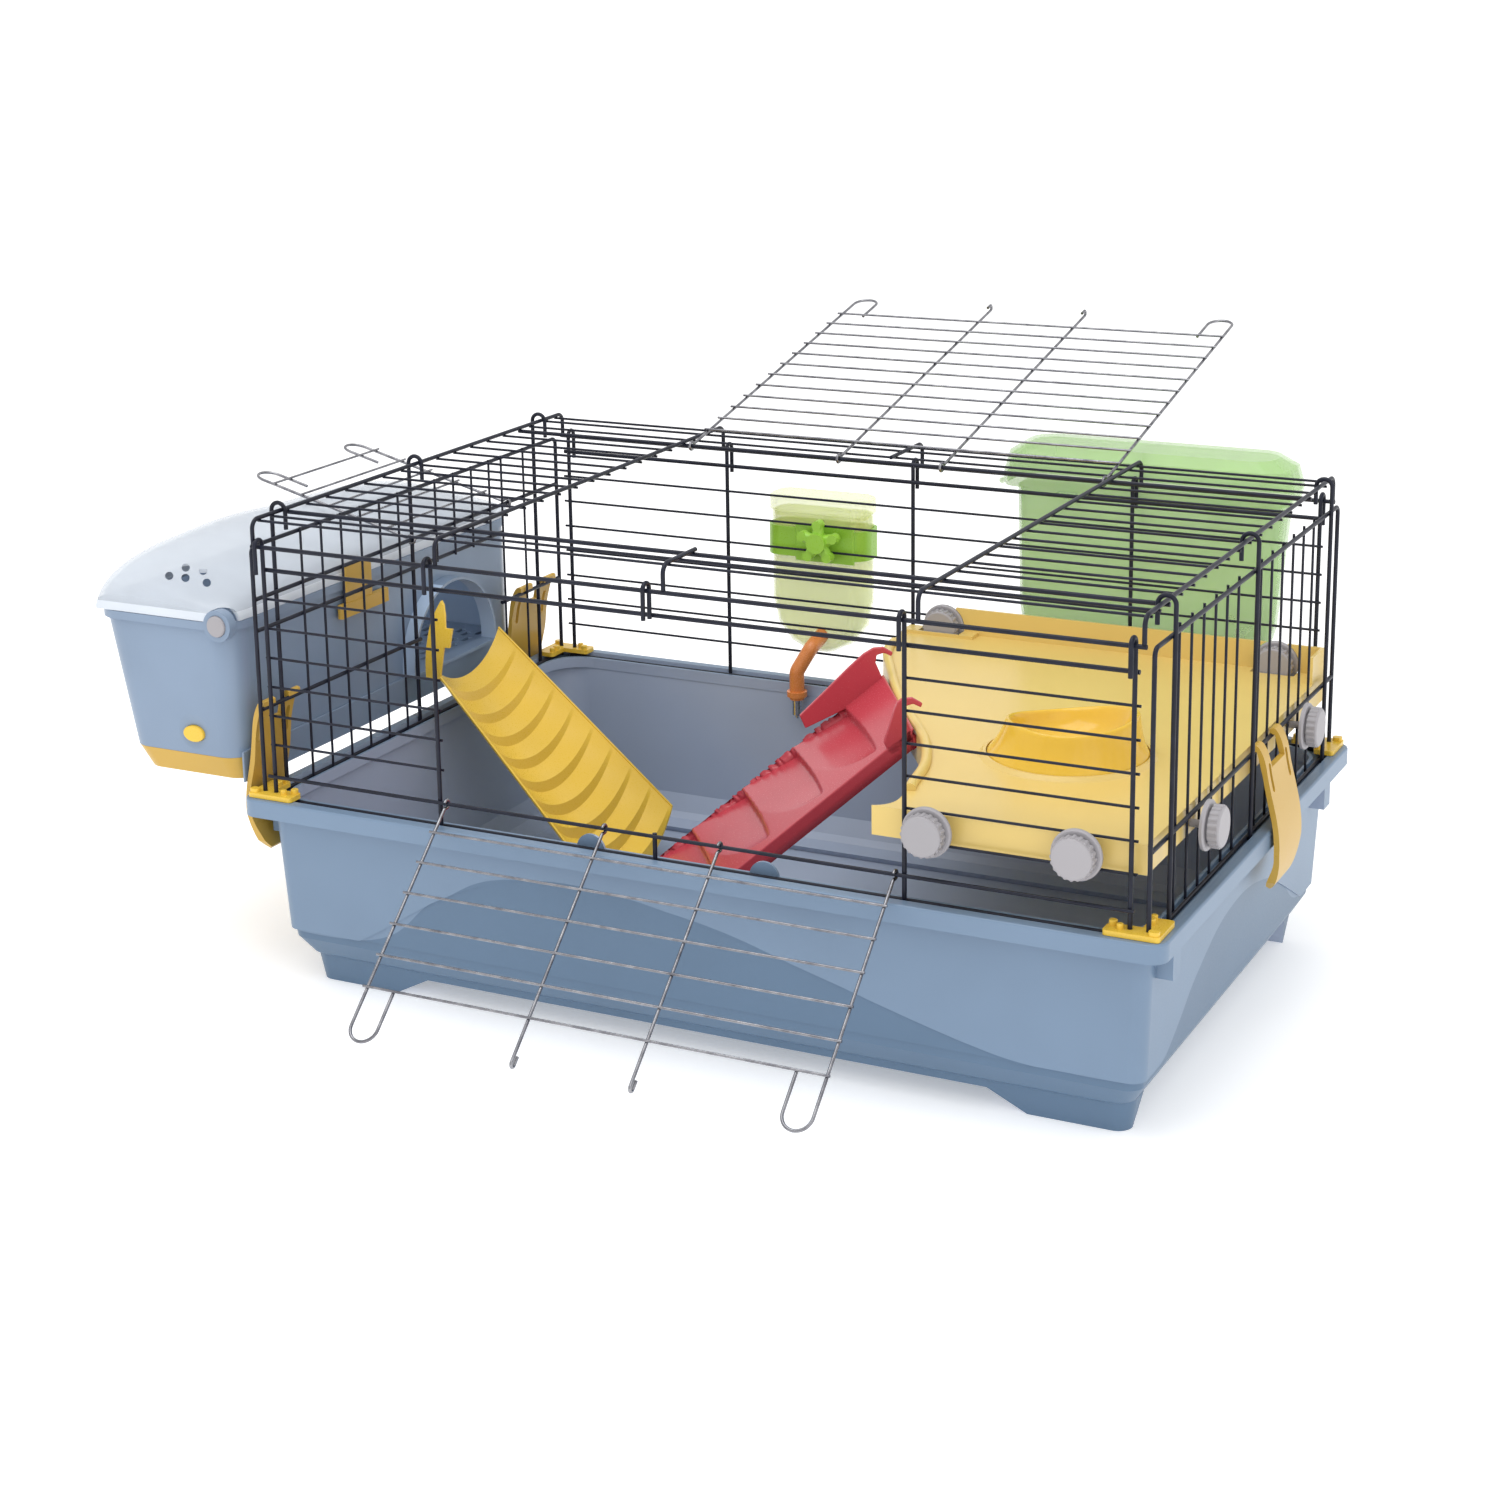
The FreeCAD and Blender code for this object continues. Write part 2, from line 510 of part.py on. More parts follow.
# ---------------------------------------------------------------- carrier
def carrier_sections(inset):
    """Plan outlines of the carrier body from its foot to its flange."""
    y0, y1 = CARRIER_Y
    rows = [(CARRIER_OUT_LOW, y0 + 2, y1 - 2, TRAY_TOP_Z + 0.2, 20),
            ((CARRIER_OUT_LOW + CARRIER_OUT_TOP) / 2 + 0.5, y0 + 0.5, y1 - 0.5, 256, 22),
            (CARRIER_OUT_TOP, y0, y1, FLANGE_Z, 24)]
    return [rounded_wire(x + inset, DOCK_X - inset, a + inset, b - inset, r - inset / 2, z)
            for x, a, b, z, r in rows]


def arch_prism(radius, x0, x1, low_z):
    """Arched block along X: half round above, square below."""
    disc = Part.makeCylinder(radius, x1 - x0, Vector(x0, ARCH_Y, ARCH_SPRING_Z), Vector(1, 0, 0))
    arch = disc.fuse(box(x0, x1, ARCH_Y - radius, ARCH_Y + radius, low_z, ARCH_SPRING_Z))
    return arch.cut(box(x0 - 1, x1 + 1, ARCH_Y - 2 * radius, ARCH_Y + 2 * radius, low_z - 2 * radius, low_z))


def carrier_base():
    """Carrier body with an arched doorway and a collar that points into the cage."""
    y0, y1 = CARRIER_Y
    shell = loft(carrier_sections(0.0))
    lip = slab(CARRIER_OUT_TOP - 2.5, DOCK_X + 2.0, y0 - 2.5, y1 + 2.5, 26, FLANGE_Z - 7, FLANGE_Z)
    collar = arch_prism(ARCH_R + 2.5, DOCK_X - 0.5, DOCK_X + 13, 204.0)
    shell = shell.fuse([lip, collar])
    hollow = loft(carrier_sections(2.5))
    shell = shell.cut(hollow.cut(box(-600, DOCK_X, y0, y1, TRAY_TOP_Z - 5, LEDGE_Z)))
    shell = shell.cut(box(CARRIER_OUT_LOW + 8, DOCK_X - 6, y0 + 9, y1 - 9, TRAY_TOP_Z - 1, LEDGE_Z + 3))
    shell = shell.cut(arch_prism(ARCH_R, DOCK_X - 6, DOCK_X + 20, 207.0))
    shell = shell.cut(Part.makeSphere(80, Vector(OVAL_BUTTON[0], y0 - 77.0, OVAL_BUTTON[1])))
    x, z = ROUND_BUTTON
    seat = Part.makeCylinder(13.5, 9, Vector(x, y0 - 3.4, z), Vector(0, 1, 0))
    shell = shell.fuse(seat)
    shell = shell.cut(Part.makeCylinder(9.3, 16, Vector(x, y0 - 8, z), Vector(0, 1, 0)))
    x, z = OVAL_BUTTON
    shell = shell.cut(oval_y(x, z, 10.8, 7.4, y0 - 6, y0 + 8))
    for y in LID_HINGES:
        shell = shell.cut(Part.makeCylinder(2.7, 27, Vector(*LID_AXIS) + Vector(0, y - 0.5, 0), Vector(0, 1, 0)))
    return [shell.removeSplitter()]


def oval_y(x, z, half_x, half_z, y0, y1):
    """Oval rod along Y."""
    ellipse = Part.Ellipse(Vector(x, y0, z), half_x, half_z)
    face = Part.Face(Part.Wire(ellipse.toShape()))
    face.rotate(Vector(x, y0, z), Vector(1, 0, 0), 90)
    return face.extrude(Vector(0, y1 - y0, 0))


def carrier_tray():
    """Yellow foot tray of the carrier."""
    y0, y1 = CARRIER_Y
    rows = [(-513.0, y0 + 8, y1 - 8, CARRIER_LOW_Z, 16), (CARRIER_OUT_LOW, y0 + 2, y1 - 2, TRAY_TOP_Z, 20)]
    outer = loft([rounded_wire(x, DOCK_X, a, b, r, z) for x, a, b, z, r in rows])
    rows = [(-511.0, y0 + 10, y1 - 10, CARRIER_LOW_Z + 2.5, 14),
            (CARRIER_OUT_LOW + 2.4, y0 + 4.4, y1 - 4.4, TRAY_TOP_Z + 0.01, 18)]
    return [outer.cut(loft([rounded_wire(x, DOCK_X - 2.4, a, b, r, z) for x, a, b, z, r in rows]))]


def carrier_grate():
    """Loose floor of the carrier with rows of drain slots."""
    y0, y1 = CARRIER_Y
    plate = slab(-520.0, DOCK_X - 3.2, y0 + 6, y1 - 6, 20, LEDGE_Z + 0.05, LEDGE_Z + 2.6)
    slots = []
    for row in range(9):
        for column in range(17):
            x = -506.0 + row * 11.0
            y = y0 + 22 + column * 24.0 + (6 if row % 2 else -2)
            slots.append(box(x - 2.4, x + 2.4, y - 7, y + 7, LEDGE_Z - 1, LEDGE_Z + 5))
    return [plate.cut(Part.makeCompound(slots))]


def lid_section(y, height, spread, drop):
    """Closed arched outline of the lid across the carrier at depth y."""
    out_x, in_x = CARRIER_OUT_TOP - 2.5 + spread, DOCK_X + 1.0 - spread
    low = FLANGE_Z + 0.4 + drop
    width = in_x - out_x
    shape = [(0.0, 0.0), (0.010, 0.40), (0.045, 0.72), (0.125, 0.93), (0.287, 1.0), (0.564, 0.84),
             (0.82, 0.61), (0.93, 0.44), (0.985, 0.22), (1.0, 0.0)]
    points = [Vector(out_x + u * width, y, low + v * height) for u, v in shape]
    curve = Part.BSplineCurve()
    curve.interpolate(points)
    return Part.Wire([curve.toShape(), Part.makeLine(points[-1], points[0])])


LID_STATIONS = [(0.0, 14.0, 5.0), (9.0, 26.0, 1.5), (26.0, 36.0, 0.0), (52.0, 43.0, 0.0), (95.0, 47.0, 0.0),
                (180.0, 48.5, 0.0), (232.0, 45.0, 0.0), (290.0, 43.0, 0.0), (370.0, 37.0, 0.0),
                (418.0, 29.0, 0.6), (446.0, 18.0, 4.0)]


def carrier_lid():
    """Domed see-through lid with a folded rim and air holes in its front."""
    y0 = CARRIER_Y[0] - 2.0
    outer = Part.makeLoft([lid_section(y0 + d, h, s, 0) for d, h, s in LID_STATIONS], True, False)
    inner_rows = [(d * 0.989 + 2.6, h - 2.2, s + 2.2) for d, h, s in LID_STATIONS]
    inner = Part.makeLoft([lid_section(y0 + d, h, s, -0.6) for d, h, s in inner_rows], True, False)
    lid = outer.cut(inner)
    for x, z in AIR_HOLES:
        lid = lid.cut(Part.makeCylinder(3.4, 56, Vector(x, y0 - 2, z), Vector(-0.61, 0.76, -0.24)))
    for y in LID_HINGES:
        barrel = Part.makeCylinder(2.4, 26, Vector(*LID_AXIS) + Vector(0, y, 0), Vector(0, 1, 0))
        lid = lid.fuse(barrel.fuse(box(LID_AXIS[0], LID_AXIS[0] + 3.4, y, y + 26, LID_AXIS[2] + 0.5, LID_AXIS[2] + 2.4)))
    x, z = ROUND_BUTTON
    return [lid.cut(Part.makeCylinder(14.0, 24, Vector(x, y0 - 10, z), Vector(0, 1, 0)))]


def carrier_latch():
    """Hinged catch on the cage side that holds the lid down."""
    x = DOCK_X + 3.6
    plate = slab(x, x + 3.4, -90.0, -50.0, 1.4, 290, 331)
    bar = slab(x - 0.9, x + 4.6, -100.0, -26.0, 2.2, 284, 296)
    plate = plate.makeFillet(1.2, [e for e in plate.Edges if e.BoundBox.ZMin > 330.5])
    return [plate.fuse(bar).removeSplitter()]


def round_button():
    x, z = ROUND_BUTTON
    y = CARRIER_Y[0]
    disc = Part.makeCylinder(9.0, 7.2, Vector(x, y - 5.6, z), Vector(0, 1, 0))
    return [disc.makeFillet(1.6, [e for e in disc.Edges if e.BoundBox.YMax < y - 5])]


def oval_button():
    x, z = OVAL_BUTTON
    y = CARRIER_Y[0]
    button = oval_y(x, z, 10.5, 7.1, y - 0.6, y + 6.0)
    return [button.makeFillet(1.4, [e for e in button.Edges if e.BoundBox.YMax < y - 0.5])]


# ---------------------------------------------------------------- ramps
def between(pair, share):
    """Value part of the way from the first to the second of a pair."""
    return pair[0] + (pair[1] - pair[0]) * share


def chute_section(share, lift, spread, roof):
    """Closed section across the chute: an arc slung between its rims, and a flat top."""
    near = between(CHUTE_NEAR, share) - Vector(0, spread, 0)
    far = between(CHUTE_FAR, share) + Vector(0, spread, 0)
    middle = (near + far) / 2 - Vector(0, 0, between(CHUTE_SAG, share) - lift)
    up = Vector(0, 0, roof)
    ring = [far, far + up, near + up, near]
    return Part.Wire([Part.Arc(near, middle, far).toShape()] + [Part.makeLine(a, b) for a, b in zip(ring, ring[1:])])


def yellow_ramp():
    """Chute that widens downwards, with saw-tooth steps, from the carrier doorway to the tub floor."""
    body = Part.makeLoft([chute_section(0, -3.0, 2.2, 1.6), chute_section(1, -3.0, 2.2, 1.6)], True, True)
    for step in range(CHUTE_STEPS):
        start, edge, end = [(step + part) / CHUTE_STEPS for part in (0, 0.88, 1)]
        for first, second, rise0, rise1 in ((start, edge, 0, 1), (edge, end, 1, 0)):
            ends = [chute_section(first, rise0 * between(CHUTE_TOOTH, first), 0, 12),
                    chute_section(second, rise1 * between(CHUTE_TOOTH, second), 0, 12)]
            body = body.cut(Part.makeLoft(ends, True, True))
    body = body.cut(box(-500, -150, -100, 300, -50, FLOOR_Z + WALL + 0.6))
    ring = Part.makeCylinder(COLLAR_R + 2.6, 30, Vector(-377, COLLAR_Y, COLLAR_Z), Vector(1, 0, 0))
    ring = ring.cut(Part.makeCylinder(COLLAR_R, 40, Vector(-380, COLLAR_Y, COLLAR_Z), Vector(1, 0, 0)))
    blade = [(-376.5, 208), (-362, 208), (-358.5, 226), (-357, 240), (-351, 240), (-351, 256), (-358.5, 256),
             (-362, 266), (-367, 274), (-371, 277), (-374.5, 262)]
    side = polygon_face([(x, -60, z) for x, z in blade]).extrude(Vector(0, 60 + COLLAR_Y / 2, 0))
    return [body.fuse(ring.common(side)).removeSplitter()]


def ramp_hook(y0, y1, run):
    """Side plate that rises over the last `run` of the ramp and hooks over the platform's lip."""
    outline = [Vector(run, y0, -12), Vector(run, y0, 1.0), Vector(0.1 * run, y0, 22), Vector(-2, y0, 24.5),
               Vector(-10, y0, 22.5), Vector(-15, y0, 14.5), Vector(-13, y0, 12.5), Vector(-9, y0, 17.8),
               Vector(-2.5, y0, 19), Vector(0.6, y0, 14), Vector(0.6, y0, -16)]
    return Part.Face(Part.makePolygon(outline + [outline[0]])).extrude(Vector(0, y1 - y0, 0))


def red_ramp():
    """Broad ramp with side walls, scalloped tread and two hooks over the platform's lip."""
    width, length = 156.0, 330.0
    board = slab(-20, length, 0, width, 4, -2.6, 0)
    edge = slab(-20, length, 0, width, 4, -14.0, 0.0)
    edge = edge.cut(slab(-30, length - 3.0, 3.0, width - 3.0, 3, -15, 6))
    body = board.fuse(edge)
    grips = []
    for row in range(6):
        middle = 34 + row * 52.0
        for lean in (-1, 1):
            for start, end in ((8, width / 2 + 2), (width / 2 - 2, width - 8)):
                grips.append(grip(middle, lean, start, end, width))
    body = body.fuse(grips)
    body.rotate(Vector(0, 0, 0), Vector(0, 1, 0), RED_SLOPE)
    body = body.cut(box(-60, 0, -10, width + 10, -100, 100))
    hooks = [ramp_hook(0.0, 3.6, 78.0), ramp_hook(width - 3.6, width, 26.0)]
    for hook in hooks:
        hook.rotate(Vector(0, 0, 0), Vector(0, 1, 0), RED_SLOPE * 0.62)
    trim = box(-60, 1.2, -10, width + 10, -100, RED_LIP_CLEAR - RED_TOP[2])
    body = body.fuse([hook.cut(trim) for hook in hooks])
    body.rotate(Vector(0, 0, 0), Vector(0, 0, 1), RED_HEADING)
    body.translate(Vector(*RED_TOP))
    return [body.cut(box(-400, 400, -300, 300, -200, FLOOR_Z + WALL + 0.5)).removeSplitter()]


def grip(middle, lean, start, end, width):
    """One raised arm of a cross-shaped grip on the tread."""
    def along(y):
        return middle + lean * 20 * (abs(y - width / 2) / (width / 2)) * (1 if y > width / 2 else -1)
    a, b = along(start), along(end)
    return polygon_face([(a - 1.8, start, -0.5), (a + 1.8, start, -0.5), (b + 1.8, end, -0.5),
                         (b - 1.8, end, -0.5)]).extrude(Vector(0, 0, 1.9))


# ---------------------------------------------------------------- platform and bowl
PLATFORM_EDGE = [(165, -236), (176, -226), (174, -194), (171, -183), (164, -146), (152, -110), (138, -80),
                 (118, -48), (59, 44), (45, 70), (23, 112), (3, 155), (-2, 179), (-12, 236)]


def platform_outline(inset, z):
    """Outline of the platform, moved inwards by inset."""
    shift = [(x + inset, y) for x, y in PLATFORM_EDGE]
    shift[0] = (shift[0][0], shift[0][1] + inset)
    shift[-1] = (shift[-1][0], shift[-1][1] - inset)
    left = Part.BSplineCurve()
    left.interpolate([Vector(x, y, z) for x, y in shift])
    ring = [Vector(x, y, z) for x, y in (shift[-1], (379 - inset, 236 - inset), (379 - inset, -236 + inset), shift[0])]
    edges = [left.toShape()] + [Part.makeLine(a, b) for a, b in zip(ring, ring[1:])]
    return Part.Face(Part.Wire(edges))


def platform():
    """Raised floor with a skirt at the front and right and a low wall at the back and left."""
    body = platform_outline(0, PLATE_Z - PLATE_T).extrude(Vector(0, 0, PLATE_T))
    skirt = platform_outline(0, SKIRT_LOW_Z).extrude(Vector(0, 0, PLATE_Z - SKIRT_LOW_Z))
    skirt = skirt.cut(platform_outline(2.6, SKIRT_LOW_Z - 1).extrude(Vector(0, 0, PLATE_Z - SKIRT_LOW_Z)))
    wall = platform_outline(0, PLATE_Z - 1).extrude(Vector(0, 0, 25))
    wall = wall.cut(platform_outline(2.6, PLATE_Z - 2).extrude(Vector(0, 0, 30)))
    back = wall.common(box(40, 400, 200, 300, 200, 300))
    bead = Part.BSplineCurve()
    bead.interpolate([Vector(x + 4.2, y, PLATE_Z + 1.6) for x, y in PLATFORM_EDGE[2:-1]])
    bead_wire = Part.Wire(bead.toShape())
    start, tangent = bead.value(bead.FirstParameter), bead.tangent(bead.FirstParameter)[0]
    round_wire = Part.Wire(Part.makeCircle(4.2, start, tangent))
    lip = bead_wire.makePipeShell([round_wire], True, False)
    ledge = box(-6, 62, 218, 236, SKIRT_LOW_Z + 4, PLATE_Z + 3).common(
        platform_outline(0, SKIRT_LOW_Z).extrude(Vector(0, 0, 60)))
    body = body.fuse([skirt, back, lip, ledge])
    foot = Part.makeCone(BOWL_R + 6, BOWL_R + 2.6, 3.4, Vector(BOWL_X, BOWL_Y, PLATE_Z - 0.2))
    foot = foot.cut(Part.makeCylinder(BOWL_R + 0.4, 9, Vector(BOWL_X, BOWL_Y, PLATE_Z)))
    body = body.fuse(foot)
    for x, z in FRONT_KNOBS:
        body = body.cut(Part.makeCylinder(3.3, 14, Vector(x, -244, z), Vector(0, 1, 0)))
    for y, z in SIDE_KNOBS:
        body = body.cut(Part.makeCylinder(3.3, 14, Vector(372, y, z), Vector(1, 0, 0)))
    for x, z in BACK_KNOBS:
        body = body.cut(Part.makeCylinder(KNOB_R + 0.8, 18, Vector(x, 220.0, z), Vector(0, 1, 0)))
    return [body.removeSplitter()]


def food_bowl():
    """Low round bowl with a sloping outside, a rounded well and a small spout."""
    base, top = BOWL_R - 0.6, 48.0
    profile = [(0, 0), (base, 0), (base, 2.6), (top + 4.6, BOWL_H - 3.2), (top + 2.2, BOWL_H),
               (top - 1.0, BOWL_H - 0.4), (top - 5, BOWL_H - 6), (top - 12, 9), (top - 22, 4), (0, 3.2)]
    face = polygon_face([(x, 0, z) for x, z in profile])
    body = face.revolve(Vector(0, 0, 0), Vector(0, 0, 1), 360)
    body.translate(Vector(BOWL_X, BOWL_Y, PLATE_Z + 0.05))
    return [body]


# ---------------------------------------------------------------- thumb nuts
def knob(centre, axis, bolt):
    """Thumb nut about `axis`: washer, neck and scalloped cap, with its bolt behind it."""
    washer = Part.makeCylinder(KNOB_R, 3.4)
    washer = washer.makeChamfer(1.2, [e for e in washer.Edges if e.BoundBox.ZMin > 3.3])
    neck = Part.makeCylinder(12.5, 4.0, Vector(0, 0, 3))
    cap = Part.makeCylinder(KNOB_CAP_R - 0.8, KNOB_T - 5.4, Vector(0, 0, 5.4))
    cap = cap.makeFillet(1.8, [e for e in cap.Edges if e.BoundBox.ZMin > KNOB_T - 0.01])
    ribs = []
    for k in range(20):
        angle = math.radians(18 * k)
        spot = Vector((KNOB_CAP_R - 1.7) * math.cos(angle), (KNOB_CAP_R - 1.7) * math.sin(angle), 5.4)
        ribs.append(Part.makeCylinder(1.9, KNOB_T - 7.2, spot))
    body = washer.fuse([neck, cap, Part.makeCylinder(3.0, bolt + 1, Vector(0, 0, -bolt))] + ribs)
    body = body.removeSplitter()
    body.Placement = FreeCAD.Placement(Vector(*centre), FreeCAD.Rotation(Vector(0, 0, 1), Vector(*axis)))
    return body


def knob_front_left():
    return [knob((FRONT_KNOBS[0][0], -248.0, FRONT_KNOBS[0][1]), (0, -1, 0), 16)]


def knob_front_right():
    return [knob((FRONT_KNOBS[1][0], -248.0, FRONT_KNOBS[1][1]), (0, -1, 0), 16)]


def knob_side_front():
    return [knob((391.5, SIDE_KNOBS[0][0], SIDE_KNOBS[0][1]), (1, 0, 0), 17)]


def knob_side_back():
    return [knob((391.5, SIDE_KNOBS[1][0], SIDE_KNOBS[1][1]), (1, 0, 0), 17)]


def knob_back_left():
    return [knob((BACK_KNOBS[0][0], 235.6, BACK_KNOBS[0][1]), (0, -1, 0), 13)]


def knob_back_right():
    return [knob((BACK_KNOBS[1][0], 235.6, BACK_KNOBS[1][1]), (0, -1, 0), 13)]


# ---------------------------------------------------------------- bottle
def upright_loft(rows):
    """Loft through level rounded rectangles given as (x0, x1, y0, y1, radius, z)."""
    return loft([rounded_wire(*row) for row in rows])


def bottle_holder():
    """Band that grips the bottle on the outside of the back wall, with its back plate."""
    x0, x1 = BOTTLE_X
    outer = slab(x0 - 3, x1 + 3, 247.6, 289.0, 16, 289, 317)
    band = outer.cut(slab(x0 - 0.3, x1 + 0.3, 249.7, 286.3, 14, 280, 330))
    plate = slab(-128, -68, 246.4, 249.6, 1.5, 286, 320)
    lug = Part.makeCylinder(7, 3.3, Vector(-98, 246.3, 308), Vector(0, 1, 0))
    body = band.fuse([plate, lug])
    body = body.cut(Part.makeCylinder(3.3, 12, Vector(-98, 238, 308), Vector(0, 1, 0)))
    return [body.removeSplitter()]


def bottle_knob():
    """Five-pointed star nut on the inside of the back wall."""
    body = Part.makeCylinder(9.5, 12)
    for k in range(5):
        arm = Part.makeCone(6.4, 4.6, 12.5, Vector(4, 0, 4.6), Vector(1, 0, 0)).common(box(0, 30, -8, 8, 0, 9.2))
        tip = Part.makeCylinder(4.6, 9.2, Vector(16.5, 0, 0))
        for piece in (arm, tip):
            piece.rotate(Vector(0, 0, 0), Vector(0, 0, 1), 72 * k + 18)
            body = body.fuse(piece)
    body = body.fuse(Part.makeCylinder(3.0, 12, Vector(0, 0, -11.4))).removeSplitter()
    body.Placement = FreeCAD.Placement(Vector(-98, 238.2, 308), FreeCAD.Rotation(Vector(0, 0, 1), Vector(0, -1, 0)))
    return [body]


def bottle_form(wall=0.0):
    """Solid form of the bottle, moved inwards by its wall."""
    x0, x1 = BOTTLE_X
    rows = [(x0 + 34, x1 - 34, 254, 280, 10, 197), (x0 + 18, x1 - 18, 252, 284, 13, 205),
            (x0 + 5, x1 - 5, 250.5, 285.5, 14, 222), (x0, x1, 250, 286, 14, 246), (x0, x1, 250, 286, 14, 330)]
    return upright_loft([(a + wall, b - wall, c + wall, d - wall, r - wall / 2, z + wall)
                         for a, b, c, d, r, z in rows])


def bottle_body():
    """Flat upside-down bottle that tapers to its spout."""
    return [bottle_form().cut(bottle_form(1.6))]


def bottle_lid():
    x0, x1 = BOTTLE_X
    cap = slab(x0 - 2, x1 + 2, 248, 288, 15, 331.7, 346)
    cap = cap.makeFillet(2.5, [e for e in cap.Edges if e.BoundBox.ZMin > 345.9])
    plug = slab(x0 + 2.2, x1 - 2.2, 252.2, 283.8, 12, 326, 332)
    return [cap.fuse(plug)]


def bottle_elbow():
    """Bent spout between bottle and nozzle."""
    path = [(-103, 258, 216), (-106, 233, 206), (SPOUT_X, SPOUT_Y, 184), (SPOUT_X, SPOUT_Y, 157)]
    pieces = bent_rod(path, 7.0, 9.0)
    body = pieces[0].fuse(pieces[1:])
    collar = Part.makeCylinder(9.5, 5, Vector(SPOUT_X, SPOUT_Y, 160))
    return [body.fuse(collar).cut(bottle_form()).removeSplitter()]


def bottle_nozzle():
    tube = Part.makeCylinder(4.6, 15.0, Vector(SPOUT_X, SPOUT_Y, 142))
    return [tube.cut(Part.makeCylinder(2.0, 12, Vector(SPOUT_X, SPOUT_Y, 141)))]


def nozzle_pin():
    pin = Part.makeCylinder(1.5, 12.0, Vector(SPOUT_X, SPOUT_Y, 138))
    return [pin.makeFillet(1.0, [e for e in pin.Edges if e.BoundBox.ZMax < 138.1])]


# ---------------------------------------------------------------- hay rack
def hay_rack_body():
    """Open hopper that hangs on the outside of the back wall."""
    rows = [(92, 322, 258.5, 280, 10, 245), (88, 326, 258.5, 288, 14, 262), (84, 330, 258.5, 317, 18, 372)]
    outer = upright_loft(rows)
    inner = upright_loft([(a + 2.2, b - 2.2, c + 2.2, d - 2.2, r - 2, z + 2.2) for a, b, c, d, r, z in rows])
    body = outer.cut(inner)
    hook = box(128, 146, 250.6, 260, 366, 371).fuse(box(268, 286, 250.6, 260, 366, 371))
    return [body.fuse(hook).removeSplitter()]


def hay_rack_lid():
    rows = [(72, 336, 256.5, 320, 18, 372.4), (70, 338, 256, 328, 22, 384), (74, 334, 258, 326, 24, 402),
            (88, 320, 264, 318, 22, 411)]
    outer = upright_loft(rows)
    inner = upright_loft([(a + 2.2, b - 2.2, c + 2.2, d - 2.2, r - 2, z - 2.2) for a, b, c, d, r, z in rows])
    barrel = Part.makeCylinder(2.6, 52, Vector(71.0, 266.0, 374.8), Vector(0, 1, 0))
    return [outer.cut(inner).fuse(barrel).removeSplitter()]


PIECES = {
    "tub": tub,
    "front_panel": front_panel,
    "back_panel": back_panel,
    "left_panel": left_panel,
    "right_panel": right_panel,
    "roof_panel": roof_panel,
    "front_door": front_door,
    "roof_door": roof_door,
    "left_door": left_door,
    "carrier_base": carrier_base,
    "carrier_tray": carrier_tray,
    "carrier_grate": carrier_grate,
    "carrier_lid": carrier_lid,
    "carrier_latch": carrier_latch,
    "carrier_round_button": round_button,
    "carrier_oval_button": oval_button,
    "yellow_ramp": yellow_ramp,
    "red_ramp": red_ramp,
    "platform": platform,
    "food_bowl": food_bowl,
    "knob_front_left": knob_front_left,
    "knob_front_right": knob_front_right,
    "knob_side_front": knob_side_front,
    "knob_side_back": knob_side_back,
    "knob_back_left": knob_back_left,
    "knob_back_right": knob_back_right,
    "bottle_holder": bottle_holder,
    "bottle_knob": bottle_knob,
    "bottle_body": bottle_body,
    "bottle_lid": bottle_lid,
    "bottle_elbow": bottle_elbow,
    "bottle_nozzle": bottle_nozzle,
    "nozzle_pin": nozzle_pin,
    "hay_rack_body": hay_rack_body,
    "hay_rack_lid": hay_rack_lid,
}

os.makedirs("parts", exist_ok=True)
for name, make in PIECES.items():
    save(name, make())
save("clip_right", clip(1, RIGHT_CLIP_Z, 8.0, 72.0, 18.2))
save("clip_left_front", clip(-1, LEFT_CLIP_Z, -240.0, -190.0, 9.5))
save("clip_left_back", clip(-1, LEFT_CLIP_Z, 170.0, 235.0, 11.0))
for side_x, side_y, spot in ((-1, -1, "front_left"), (1, -1, "front_right"),
                             (-1, 1, "back_left"), (1, 1, "back_right")):
    save("corner_connector_" + spot, corner_connector(side_x, side_y))
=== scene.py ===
import math

import bpy
from mathutils import Matrix, Vector


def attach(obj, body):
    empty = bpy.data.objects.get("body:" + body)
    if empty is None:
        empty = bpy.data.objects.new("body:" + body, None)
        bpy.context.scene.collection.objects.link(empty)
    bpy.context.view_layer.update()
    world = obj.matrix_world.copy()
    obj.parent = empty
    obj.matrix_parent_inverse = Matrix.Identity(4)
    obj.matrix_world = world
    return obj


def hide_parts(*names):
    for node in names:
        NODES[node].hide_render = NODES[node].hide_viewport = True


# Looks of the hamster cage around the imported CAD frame.  Everything is in metres in the CAD's own
# frame: X along the cage, Y from front to back, Z up, origin on the floor under the tub's middle.

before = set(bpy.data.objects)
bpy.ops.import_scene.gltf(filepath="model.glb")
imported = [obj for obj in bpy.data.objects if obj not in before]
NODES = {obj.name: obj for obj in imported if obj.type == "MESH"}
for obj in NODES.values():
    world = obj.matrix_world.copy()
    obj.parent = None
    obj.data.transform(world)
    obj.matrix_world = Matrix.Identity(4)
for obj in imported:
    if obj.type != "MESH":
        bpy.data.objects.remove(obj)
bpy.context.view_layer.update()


# ---------------------------------------------------------------- node materials
def srgb(red, green, blue):
    """Linear colour from 0-255 display values."""
    def linear(value):
        value /= 255.0
        return value / 12.92 if value <= 0.04045 else ((value + 0.055) / 1.055) ** 2.4
    return (linear(red), linear(green), linear(blue), 1.0)


def shade(colour, factor):
    return tuple(min(1.0, channel * factor) for channel in colour[:3]) + (1.0,)


